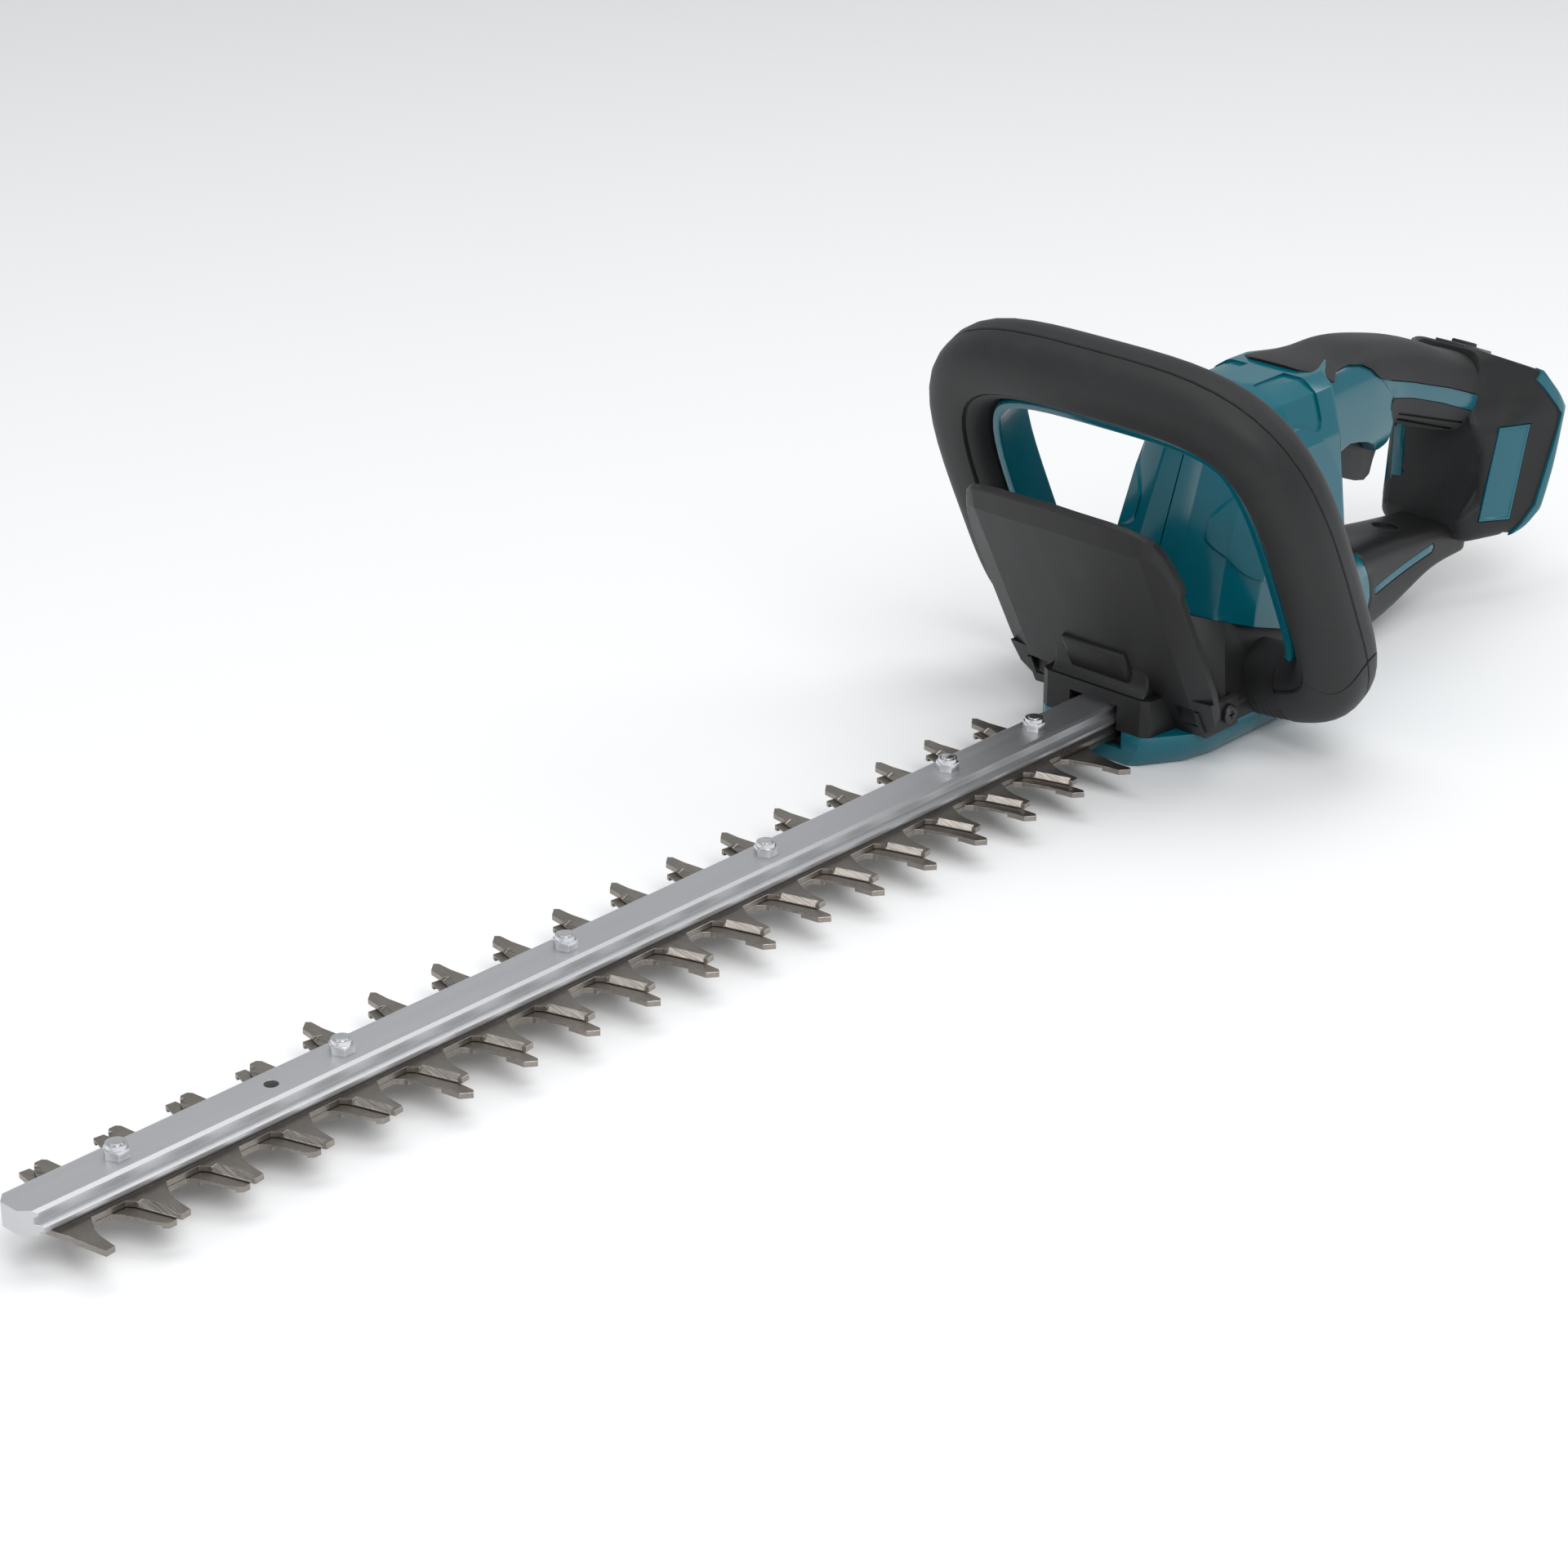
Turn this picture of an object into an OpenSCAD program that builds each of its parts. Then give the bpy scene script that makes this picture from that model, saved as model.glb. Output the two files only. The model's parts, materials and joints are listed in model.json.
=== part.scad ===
// Cordless two-handed hedge trimmer with double-sided reciprocating blades.
// Origin: on the flat underside of the gear case, below the crank axis.
// +X runs forward to the blade tip, +Y to the tool's left, +Z up.

/* [Cutter] */
// Distance between neighbouring teeth
tooth_pitch = 30; // [26:1:36]
// Thickness of one shear blade
blade_t = 2.2; // [1.8:0.1:2.6]
// Half width of the blade between its teeth
blade_root_y = 11.5; // [10.5:0.5:12]
// Reach of the pointed cutting teeth from the centre line
short_tooth_y = 31; // [27:0.5:33]
// Reach of the long blunt-ended teeth from the centre line
long_tooth_y = 38; // [35:0.5:42]
// Reach of the squared-off long teeth next to the blade tip
squared_tooth_y = 29; // [26:0.5:33]
// Number of squared-off long teeth next to the blade tip
squared_count = 4; // [2:1:6]
// Height of the ground bevel on a cutting tooth
bevel_h = 1.7; // [1:0.1:1.8]
// How far the lower blade's cutting teeth lie behind the upper blade's at mid stroke
lower_offset = 13; // [12:0.5:14]
// How much less the lower blade's long teeth lie behind
long_lead = 4.5; // [4:0.5:5]
// Height of the upper blade's top face above the flat underside
blade_top_z = 15; // [15:0.5:17]
// Running gap between blades, bar and washers
blade_gap = 0.15; // [0.1:0.05:0.2]

/* [Guide bar] */
// Distance from the crank axis to the bar's front end
bar_front_x = 593; // [560:1:600]
// Distance from the crank axis to the bar's rear end
bar_rear_x = 31; // [30:0.5:34]
// Height of the guide bar
bar_h = 9; // [8:0.5:10]
// Width of the bar's flat top
bar_top_w = 16.8; // [15:0.2:18]
// Width of the bar over its lower ribs
bar_rib_w = 21; // [20:0.2:22]
// Distance from the bar's front end to the plain hanging hole
tip_hole_inset = 106.5; // [90:1:110]
// Radius of the plain hanging hole
tip_hole_r = 2.6; // [2:0.1:3]
// Distance from the bar's front end to the first blade bolt
first_bolt_inset = 42.5; // [38:0.5:46]
// Radius of the blade bolts' shank
bolt_r = 2.5; // [2:0.1:2.8]
// Width of the lock nuts across their flats
nut_af = 8; // [7:0.5:10]
// Outer radius of the sleeves that the blades slide on
sleeve_r = 4; // [3.6:0.1:4.4]

/* [Drive] */
// Throw of each eccentric: half the blade stroke
throw = 5.5; // [4.5:0.1:5.5]
// Radius of the eccentric discs
eccentric_r = 10.5; // [10.2:0.1:11]
// Free play of a disc across its yoke, along the stroke
yoke_play = 0.5; // [0.45:0.05:0.6]
// Teeth on the crank gear
gear_teeth = 48; // [46:1:48]
// Teeth on the motor pinion
pinion_teeth = 12; // [12:1:13]
// Gear module: pitch diameter over teeth
gear_module = 1; // [0.95:0.05:1]
// Width of the crank gear's face
gear_face = 7; // [6:0.5:7]
// Radius of the crank shaft
crank_r = 4; // [3.5:0.1:4.2]
// Radius of the motor shaft
motor_shaft_r = 2.5; // [2:0.1:3]
// Outer radius of the motor's stator
stator_r = 25; // [23:0.5:26]
// Height of the stator's iron core
stator_h = 22; // [18:1:24]

/* [Gear case] */
// Distance from the crank axis to the front of the case
case_front_x = 48; // [46:0.5:50]
// Distance from the crank axis to the rear of the case
case_rear_x = 62; // [60:0.5:66]
// Half width of the case at the flanks
case_half_w = 42; // [40:0.5:44]
// Wall of the moulded covers
wall = 2.6; // [2:0.1:3]
// Height of the bottom cover's upper edge
bottom_cover_h = 14.8; // [14.5:0.1:15.5]
// Height of the upper cover's top at its front
upper_cover_h = 58; // [56:0.5:60]

/* [Guard] */
// Height of the guard's top edge above the underside
guard_top_z = 117; // [104:1:120]
// Half width of the guard at its top
guard_top_y = 50; // [46:1:52]
// Half width of the guard at its widest
guard_wide_y = 52.5; // [51:0.5:58]
// Thickness of the guard's plate
guard_t = 3; // [2.4:0.2:4]
// Forward lean of the guard
guard_lean = 28; // [25:1:30]
// Half width of the snout around the bar
snout_y = 26; // [24:0.5:28]

/* [Front handle] */
// Half width of the loop over its widest part
loop_half_w = 99; // [98:0.5:102]
// Height of the loop measured along its own plane
loop_top_s = 179; // [172:1:184]
// Forward lean of the loop
loop_lean = 26.6; // [24:0.1:28]
// Thickness of the grip, from the outside to the hole
grip_radial = 31; // [29:0.5:32]
// Depth of the grip from front to back
grip_depth = 30; // [29:0.5:32]
// Wall of the loop's two shells
loop_wall = 3; // [2.4:0.1:3.5]
// Depth of the switch lever inside the loop
lever_depth = 17; // [14:0.5:19]
// Thickness of the switch lever
lever_t = 4.4; // [3.6:0.1:5]

/* [Rear handle] */
// Half width of the motor housing
motor_half_w = 36; // [34:0.5:38]
// Height of the motor housing's top
housing_top_z = 141; // [138:0.5:144]
// Half width of the rear grip
grip_half_w = 18; // [17:0.5:20]
// Half height of the rear grip
grip_half_h = 19.5; // [18:0.5:21]
// Half width of the lower bar
strut_half_w = 18; // [16:0.5:20]
// Thickness of the soft layer on the grip
soft_t = 2.2; // [1.8:0.1:2.6]
// Distance from the crank axis to the battery seat's rear end
seat_rear_x = 243; // [240:1:250]
// Half width of the battery seat
seat_half_w = 38; // [37:0.5:40]
// Height of the battery seat's underside
seat_low_z = 31; // [29:0.5:33]
// Height of the battery seat's top
seat_high_z = 112; // [110:0.5:114]
// Radius of the trigger's pivot pin
trigger_pin_r = 2; // [1.6:0.1:2.4]

/* [Hidden] */

eps = 0.01;
run_gap = 0.05;
seat_gap = 0.1;

// Cutter levels
upper_low = blade_top_z - blade_t;
lower_top = upper_low - blade_gap;
lower_low = lower_top - blade_t;
bar_low = blade_top_z + blade_gap;
bar_top = bar_low + bar_h;
first_gullet_x = bar_front_x - 21;
blade_front_x = first_gullet_x + 12.5;
tooth_count = floor((first_gullet_x + 10 - case_front_x - lower_offset + long_lead - throw) / tooth_pitch);
blade_rear_x = 38;
bolt_first = bar_front_x - first_bolt_inset;
bolt_x = concat([bolt_first], [for (i = [0:3]) bolt_first - 95 - 105 * i], [case_front_x + 38.5]);
tip_hole_x = bar_front_x - tip_hole_inset;
slot_floor_z = 6.8;
washer_t = 0.8;
washer_r = sleeve_r + 2.6;
bolt_head_h = 2.6;
nut_h = 5;
slot_end_play = 0.3;
slot_half = throw + sleeve_r + slot_end_play;
link_head_x = 46;
link_head_r = 5;
link_neck = 2.6;
bar_screw_x = bar_rear_x + 7;
bar_screw_y = 4.4;
bar_screw_r = 2;

// Gear train
pressure_angle = 25;
centre_x = -gear_module * (gear_teeth + pinion_teeth) / 2;
gear_low = blade_top_z + 1.8;
gear_top = gear_low + gear_face;
bearing_w = 6;
gear_case_r = gear_module * (gear_teeth / 2 + 1) + 4.8;
low_bearing_r = 9.5;
top_bearing_r = 11;
low_bearing_z = 2.8;
top_bearing_z = gear_top + 1;
housing_top = top_bearing_z + bearing_w + 2;
tongue_top = bar_top + 3;
block_top = housing_top - 2;
ear_top = bar_top + 2.3;
motor_low_z = housing_top + 3;
stator_z = motor_low_z + 12;
stator_in_r = stator_r * 0.56;
motor_bearing_r = 8;
motor_bearing_w = 5;
shaft_top_z = stator_z + stator_h + 22;

// Cover lines
cover_slope = 0.33;
cover_plane_x = 14;

// Guard and loop frames
loop_foot = [-20.9, 0, blade_top_z + 2.2];
lever_pivot_s = 32;
lever_pivot_y = loop_half_w - grip_radial - 5.5;
lever_end = -38;
loop_end = -64;
loop_wide_s = 66.5;
loop_drop = 5.2;
loop_power = 0.57;
section_n = 20;
loop_n = 12;
boot_s = 11;
boot_screw_r = 3;
boot_x = loop_foot[0] + boot_s * sin(loop_lean);
boot_z = loop_foot[2] + boot_s * cos(loop_lean);
guard_rear_x = 24;
guard_foot = [34, 0, blade_top_z + 6];
guard_len = (guard_top_z - guard_foot[2]) / cos(guard_lean);
guard_bow_r = 600;
guard_screw_r = 2;
guard_tab_t = 2.5;
guard_screw_x = 15.5;
guard_screw_z = blade_top_z + 6.5;
upper_snout_z = blade_top_z + 16;

// Fasteners and switches
cover_screw_r = 2;
cover_screw_at = [[-40, 24], [-40, -24], [14, 26.5], [14, -26.5]];
housing_screw_at = [[-160, 111, 12], [-128, 127, 12], [-112, 28, 15], [-152, 28, 11]];
pin_half = grip_half_w - soft_t + 0.2;
rail_gap = 50;
badge_outline = [
    [-25.2, seat_high_z - 27], [-43, seat_high_z - 28], [-35.7, seat_low_z + 9], [-17.9, seat_low_z + 11]];
trigger_x = -108;
trigger_z = 104;
button_x = -213;
button_tilt = -21;
button_z = seat_high_z + 1.6;

// ---- shared shapes ------------------------------------------------

// Point on a rounded-rectangle curve with half sizes a and b
function squircle(a, b, t, p = 0.62) =
    [a * sign(cos(t)) * pow(abs(cos(t)), p), b * sign(sin(t)) * pow(abs(sin(t)), p)];

// Closed skin over a list of rings with the same number of points
module skin(rings) {
    m = len(rings);
    n = len(rings[0]);
    sides = [for (i = [0:m - 2], j = [0:n - 1]) each [
        [i * n + j, i * n + (j + 1) % n, (i + 1) * n + (j + 1) % n],
        [i * n + j, (i + 1) * n + (j + 1) % n, (i + 1) * n + j]]];
    first_cap = [[for (j = [n - 1:-1:0]) j]];
    last_cap = [[for (j = [0:n - 1]) (m - 1) * n + j]];
    polyhedron(points = [for (r = rings) each r], faces = concat(sides, first_cap, last_cap), convexity = 8);
}

// Body along X from stations [x, centre z, half width, half height]
module body_along_x(stations, cut = 0) {
    skin([for (s = stations) [for (j = [section_n - 1:-1:0])
        let (q = squircle(s[2] - cut, s[3] - cut, 360 * (j + 0.5) / section_n)) [s[0], q[0], s[1] + q[1]]]]);
}

// Outline made symmetric about the X axis from its +Y half
function both_sides(half) = concat(half, [for (i = [len(half) - 1:-1:0]) [half[i][0], -half[i][1]]]);

module cyl_x(r, x0, x1, y = 0, z = 0, fn = 32) {
    translate([x0, y, z]) rotate([0, 90, 0]) cylinder(r = r, h = x1 - x0, $fn = fn);
}
module cyl_y(r, y0, y1, x = 0, z = 0, fn = 32) {
    translate([x, y0, z]) rotate([-90, 0, 0]) cylinder(r = r, h = y1 - y0, $fn = fn);
}
module cyl_z(r, z0, z1, x = 0, y = 0, fn = 32) {
    translate([x, y, z0]) cylinder(r = r, h = z1 - z0, $fn = fn);
}
module box(lo, hi) {
    translate(lo) cube(hi - lo);
}
module ring_z(r_in, r_out, z0, z1, x = 0, y = 0) {
    difference() {
        cyl_z(r_out, z0, z1, x, y, 48);
        cyl_z(r_in, z0 - eps, z1 + eps, x, y, 48);
    }
}
module half_space(side) {
    if (side > 0) box([-400, 0, -50], [700, 200, 300]);
    else box([-400, -200, -50], [700, 0, 300]);
}

// ---- cutter -------------------------------------------------------

// One pointed cutting tooth and the valley in front of it, from its gullet at x
function short_tooth(x) = [
    [x - 1.4, blade_root_y], [x, blade_root_y + 2.2], [x + 2.2, blade_root_y + 6.3],
    [x + 3.4, blade_root_y + 10.5], [x + 4, short_tooth_y - 0.5], [x + 8, short_tooth_y],
    [x + 13.3, blade_root_y + 2.2], [x + 15, blade_root_y]];

// One long tooth, with a rounded end or squared off
function long_tooth(x, squared) = concat(
    [[x + 11, blade_root_y], [x + 13, blade_root_y + 2.2], [x + 15.2, blade_root_y + 6.8]],
    squared
        ? [[x + 16, squared_tooth_y - 1.5], [x + 17.2, squared_tooth_y], [x + 20, squared_tooth_y],
           [x + 22.2, squared_tooth_y - 2.5]]
        : [[x + 16.4, 30], [x + 16.2, long_tooth_y - 1.6], [x + 17.6, long_tooth_y],
           [x + 21.4, long_tooth_y - 3], [x + 22.2, 29.4]],
    [[x + 24.8, blade_root_y + 8.5], [x + 27.2, blade_root_y + 2.6], [x + 29.4, blade_root_y]]);

// Blade in plan: cutting teeth on +Y, long teeth on -Y moved forward by lead
module blade_plan(lead) {
    r = blade_root_y;
    front_tooth = [for (i = [0:5]) short_tooth(first_gullet_x)[i]];
    left = [for (k = [tooth_count - 1:-1:1]) each short_tooth(first_gullet_x - tooth_pitch * k)];
    right_fwd = [for (k = [tooth_count:-1:1]) each
        [for (p = long_tooth(first_gullet_x - tooth_pitch * k + lead, k <= squared_count)) [p[0], -p[1]]]];
    nose = [[blade_front_x - 1.9, r + 3.2], [blade_front_x, r - 5.5], [blade_front_x, 5.5 - r],
        [blade_front_x - 3, -r]];
    right = [for (i = [len(right_fwd) - 1:-1:0]) right_fwd[i]];
    polygon(concat([[blade_rear_x, r]], left, front_tooth, nose, right, [[blade_rear_x, -r]]));
}

// Wedge that grinds a bevel along a tooth's front edge, from p at the root to q
module bevel_cut(p, q) {
    run = q - p;
    translate([p[0], p[1], 0]) rotate([0, 0, atan2(run[1], run[0])]) translate([1.6, 0, 0])
        rotate([90, 0, 90]) linear_extrude(norm(run) - 3.2) polygon([
            [-0.6, blade_t - bevel_h - 0.25], [2.7, blade_t + 0.05],
            [2.7, blade_t + 1], [-0.6, blade_t + 1]]);
}

// Ground teeth of one blade with its underside on z = 0
module ground_teeth(lead) {
    difference() {
        linear_extrude(blade_t) blade_plan(lead);
        for (k = [1:tooth_count]) let (x = first_gullet_x - tooth_pitch * k) {
            if (k < tooth_count) bevel_cut([x + 13.3, blade_root_y + 2.2], [x + 8, short_tooth_y]);
            mirror([0, 1, 0])
                bevel_cut([x + lead + 27.2, blade_root_y + 2.6], [x + lead + 22.2, squared_tooth_y]);
        }
    }
}

module slot_plan(x) {
    translate([x - slot_half + sleeve_r + 0.2, 0]) circle(r = sleeve_r + 0.2, $fn = 32);
    translate([x + slot_half - sleeve_r - 0.2, 0]) circle(r = sleeve_r + 0.2, $fn = 32);
    translate([x - slot_half + sleeve_r + 0.2, -sleeve_r - 0.2])
        square([2 * (slot_half - sleeve_r - 0.2), 2 * (sleeve_r + 0.2)]);
}

// Keyhole in the blade's rear end that takes the drive link's round head
module link_notch(z0, z1) {
    cyl_z(link_head_r + run_gap, z0, z1, link_head_x);
    box([blade_rear_x - 1, -link_neck - run_gap, z0], [link_head_x, link_neck + run_gap, z1]);
}

// Slots over the bolt sleeves and the notch for the drive link
module blade_slots(z0, z1) {
    for (x = bolt_x) translate([0, 0, z0]) linear_extrude(z1 - z0) slot_plan(x);
    link_notch(z0, z1);
}

module upper_blade() {
    color("#8d8780") difference() {
        translate([0, 0, upper_low]) ground_teeth(0);
        blade_slots(upper_low - 1, blade_top_z + 1);
    }
}

module lower_blade() {
    color("#8d8780") difference() {
        intersection() {
            translate([-lower_offset, 0, lower_top]) rotate([180, 0, 0]) ground_teeth(long_lead);
            box([blade_rear_x, -long_tooth_y - 1, lower_low - 1],
                [blade_front_x, long_tooth_y + 1, lower_top + 1]);
        }
        blade_slots(lower_low - 1, lower_top + 1);
    }
}

// Extruded bar: flat top, grooved flanks and a rib along each lower edge
module guide_bar() {
    t = bar_top_w / 2;
    r = bar_rib_w / 2;
    half = [[t - 0.8, bar_h], [t + 0.6, bar_h - 0.9], [t + 0.6, bar_h - 1.9], [t - 0.6, bar_h - 2.6],
        [t - 0.6, 4.2], [r - 0.7, 3.4], [r, 3], [r, 1.9], [r - 0.7, 1.4], [r - 1.6, 1.4], [r - 1.6, 0]];
    section = both_sides([for (p = half) [-p[1], p[0]]]);
    color("#b9bdc1") difference() {
        intersection() {
            translate([bar_rear_x, 0, bar_low]) rotate([0, 90, 0])
                linear_extrude(bar_front_x - bar_rear_x) polygon(section);
            translate([0, 0, bar_low - 1]) linear_extrude(bar_h + 2) polygon(both_sides([
                [bar_front_x, 4.3], [bar_front_x - 5, r - 1], [bar_front_x - 5.5, r + 1],
                [bar_rear_x, r + 1]]));
        }
        for (x = bolt_x) cyl_z(bolt_r + 0.1, bar_low - 1, bar_top + 1, x);
        cyl_z(tip_hole_r, bar_low - 1, bar_top + 1, tip_hole_x);
        for (y = [-bar_screw_y, bar_screw_y]) {
            cyl_z(bar_screw_r + run_gap, bar_low - 1, bar_top + 1, bar_screw_x, y);
            cyl_z(bar_screw_r + 1.7, bar_low - 1, bar_low + 2.4, bar_screw_x, y);
        }
    }
}

module blade_bolts() {
    color("#a9adb0") for (x = bolt_x) {
        cyl_z(bolt_r, lower_low - washer_t - blade_gap, bar_top + nut_h + 0.4, x, 0, 24);
        cyl_z(6, lower_low - washer_t - blade_gap - bolt_head_h, lower_low - washer_t - blade_gap, x, 0, 32);
    }
}

module blade_washers() {
    color("#9a9ea1") for (x = bolt_x)
        ring_z(bolt_r + 0.1, washer_r, lower_low - washer_t - blade_gap, lower_low - blade_gap, x);
}

module blade_sleeves() {
    color("#9a9ea1") for (x = bolt_x) ring_z(bolt_r + 0.1, sleeve_r, lower_low - blade_gap, bar_low, x);
}

// Nylon-insert lock nuts with a round collar
module lock_nuts() {
    color("#c4c8ca") for (x = bolt_x) difference() {
        union() {
            cyl_z(nut_af / sqrt(3), bar_top, bar_top + nut_h - 1.6, x, 0, 6);
            cyl_z(nut_af / 2 - 0.3, bar_top + nut_h - 1.6, bar_top + nut_h, x, 0, 32);
        }
        cyl_z(bolt_r + 0.02, bar_top - 1, bar_top + nut_h + 1, x, 0, 24);
    }
}

// ---- drive --------------------------------------------------------

// Involute tooth flank: point at radius r, turned back by the base angle
function inv(a) = tan(a) * 180 / PI - a;
function flank(rb, r, start) = let (a = acos(min(1, rb / r)), th = start + inv(a))
    [r * cos(th), r * sin(th)];

// Spur gear in plan with one tooth centred on +X; backlash thins each tooth
module gear_plan(teeth, backlash) {
    rp = gear_module * teeth / 2;
    rb = rp * cos(pressure_angle);
    ra = rp + gear_module * 0.95;
    rf = rp - gear_module * 1.2;
    half = 90 / teeth - backlash / rp * 90 / PI;
    start = -half - inv(pressure_angle);
    r0 = max(rb, rf + 0.05);
    low = [for (i = [0:5]) flank(rb, r0 + (ra - r0) * i / 5, start)];
    root = start + inv(acos(rb / r0));
    tooth = concat([[rf * cos(root), rf * sin(root)]], low,
        [for (i = [5:-1:0]) [low[i][0], -low[i][1]]], [[rf * cos(root), -rf * sin(root)]]);
    polygon([for (k = [0:teeth - 1], p = tooth) let (c = cos(360 * k / teeth), s = sin(360 * k / teeth))
        [p[0] * c - p[1] * s, p[0] * s + p[1] * c]]);
}

module crank_gear() {
    color("#77797b") difference() {
        translate([0, 0, gear_low]) linear_extrude(gear_face) gear_plan(gear_teeth, 0.1);
        cyl_z(crank_r + 2, gear_low - 1, gear_top + 1, 0, 0, 48);
        for (a = [0:60:300]) rotate(a) cyl_z(4, gear_low - 1, gear_top + 1, 15);
    }
}

// Shaft with two opposed eccentric discs and a shoulder for the gear
module crank_shaft() {
    color("#8f9294") {
        cyl_z(crank_r, low_bearing_z, gear_top + 1 + bearing_w, 0, 0, 48);
        cyl_z(crank_r + 2, blade_top_z + 0.6, gear_top, 0, 0, 48);
        cyl_z(eccentric_r, lower_low, lower_top, 0, -throw, 48);
        cyl_z(eccentric_r, upper_low, blade_top_z + 0.6, 0, throw, 48);
        cyl_z(crank_r + 0.6, lower_top - eps, upper_low + eps, 0, 0, 48);
    }
}

// Ball bearing drawn as two races with a ball row between them
module ball_bearing(r_in, r_out, z, w) {
    r_mid = (r_in + r_out) / 2;
    ball = (r_out - r_in) * 0.27;
    difference() {
        union() {
            ring_z(r_in, r_mid - 0.6, z, z + w);
            ring_z(r_mid + 0.6, r_out, z, z + w);
        }
        translate([0, 0, z + w / 2]) rotate_extrude($fn = 48) translate([r_mid, 0])
            circle(r = ball + 0.02, $fn = 24);
    }
    for (a = [0:45:315]) rotate(a) translate([r_mid, 0, z + w / 2]) sphere(r = ball, $fn = 16);
}

module crank_bearings() {
    color("#b5b8ba") {
        ball_bearing(crank_r + 0.02, low_bearing_r, low_bearing_z, bearing_w);
        ball_bearing(crank_r + 0.02, top_bearing_r, top_bearing_z, bearing_w);
    }
}

// Plate with a cross slot that turns the eccentric's circle into the blade's stroke
module drive_link(z) {
    yoke_x = eccentric_r + yoke_play;
    yoke_y = eccentric_r + throw + 0.6;
    color("#85898c") difference() {
        union() {
            box([-yoke_x - 4.5, -yoke_y - 3, z], [yoke_x + 4.5, yoke_y + 3, z + blade_t]);
            box([yoke_x + 4, -8, z], [blade_rear_x - 0.3, 8, z + blade_t]);
            box([blade_rear_x - 1, -link_neck, z], [link_head_x, link_neck, z + blade_t]);
            cyl_z(link_head_r, z, z + blade_t, link_head_x);
        }
        box([-yoke_x, -yoke_y, z - 1], [yoke_x, yoke_y, z + blade_t + 1]);
    }
}
module upper_drive_link() { drive_link(upper_low); }
module lower_drive_link() { drive_link(lower_low); }

module pinion() {
    color("#77797b") translate([centre_x, 0, 0]) difference() {
        translate([0, 0, gear_low]) linear_extrude(gear_face)
            rotate(180 / pinion_teeth) gear_plan(pinion_teeth, 0.1);
        cyl_z(motor_shaft_r, gear_low - 1, gear_top + 1, 0, 0, 32);
    }
}

// Magnet rotor on its shaft
module motor_rotor() {
    color("#6d6f72") translate([centre_x, 0, 0]) {
        cyl_z(motor_shaft_r, gear_low, shaft_top_z, 0, 0, 32);
        ring_z(motor_shaft_r - eps, stator_in_r - 0.5, stator_z - 1, stator_z + stator_h + 1);
    }
}

// Laminated ring with slots between its poles
module motor_stator() {
    color("#5f6265") translate([centre_x, 0, 0]) difference() {
        ring_z(stator_in_r, stator_r, stator_z, stator_z + stator_h);
        for (a = [30:60:330]) rotate(a)
            box([stator_in_r - 1, -4, stator_z - 1], [stator_r - 4, 4, stator_z + stator_h + 1]);
    }
}

// Copper coils around the poles, drawn as end turns above and below the core
module motor_windings() {
    color("#a8622d") for (a = [0:60:300], z = [stator_z - 4.5, stator_z + stator_h])
        translate([centre_x, 0, 0]) rotate(a) box([stator_in_r + 1, -5.5, z], [stator_r - 3, 5.5, z + 4.5]);
}

module motor_bearings() {
    color("#b5b8ba") translate([centre_x, 0, 0]) {
        ball_bearing(motor_shaft_r + 0.02, motor_bearing_r, top_bearing_z + 1, motor_bearing_w);
        ball_bearing(motor_shaft_r + 0.02, motor_bearing_r, shaft_top_z - motor_bearing_w, motor_bearing_w);
    }
}

// Centrifugal fan under the stator
module cooling_fan() {
    fan_z = stator_z - 12;
    color("#3a3c3e") translate([centre_x, 0, 0]) {
        ring_z(motor_shaft_r, stator_r - 3, fan_z, fan_z + 1.6);
        ring_z(motor_shaft_r, motor_shaft_r + 3, fan_z + 1.6 - eps, fan_z + 6);
        for (a = [0:30:330]) rotate(a)
            box([motor_shaft_r + 6, -0.7, fan_z + 1.6 - eps], [stator_r - 3.5, 0.7, fan_z + 6]);
    }
}

// Can around the stator with a spoked end that carries the upper bearing
module motor_bracket() {
    can_r = stator_r + 2.2;
    end_z = shaft_top_z - motor_bearing_w;
    color("#4a4d50") translate([centre_x, 0, 0]) {
        ring_z(stator_r, can_r, stator_z - 2, shaft_top_z);
        ring_z(motor_bearing_r, motor_bearing_r + 3, end_z, shaft_top_z);
        for (a = [30:60:330]) rotate(a)
            box([motor_bearing_r + 2, -3, end_z], [stator_r + 1, 3, shaft_top_z]);
        for (a = [45:90:315]) rotate(a)
            box([stator_r, -4, a > 90 && a < 270 ? block_top : housing_top], [can_r - 0.3, 4, stator_z]);
    }
}

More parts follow.
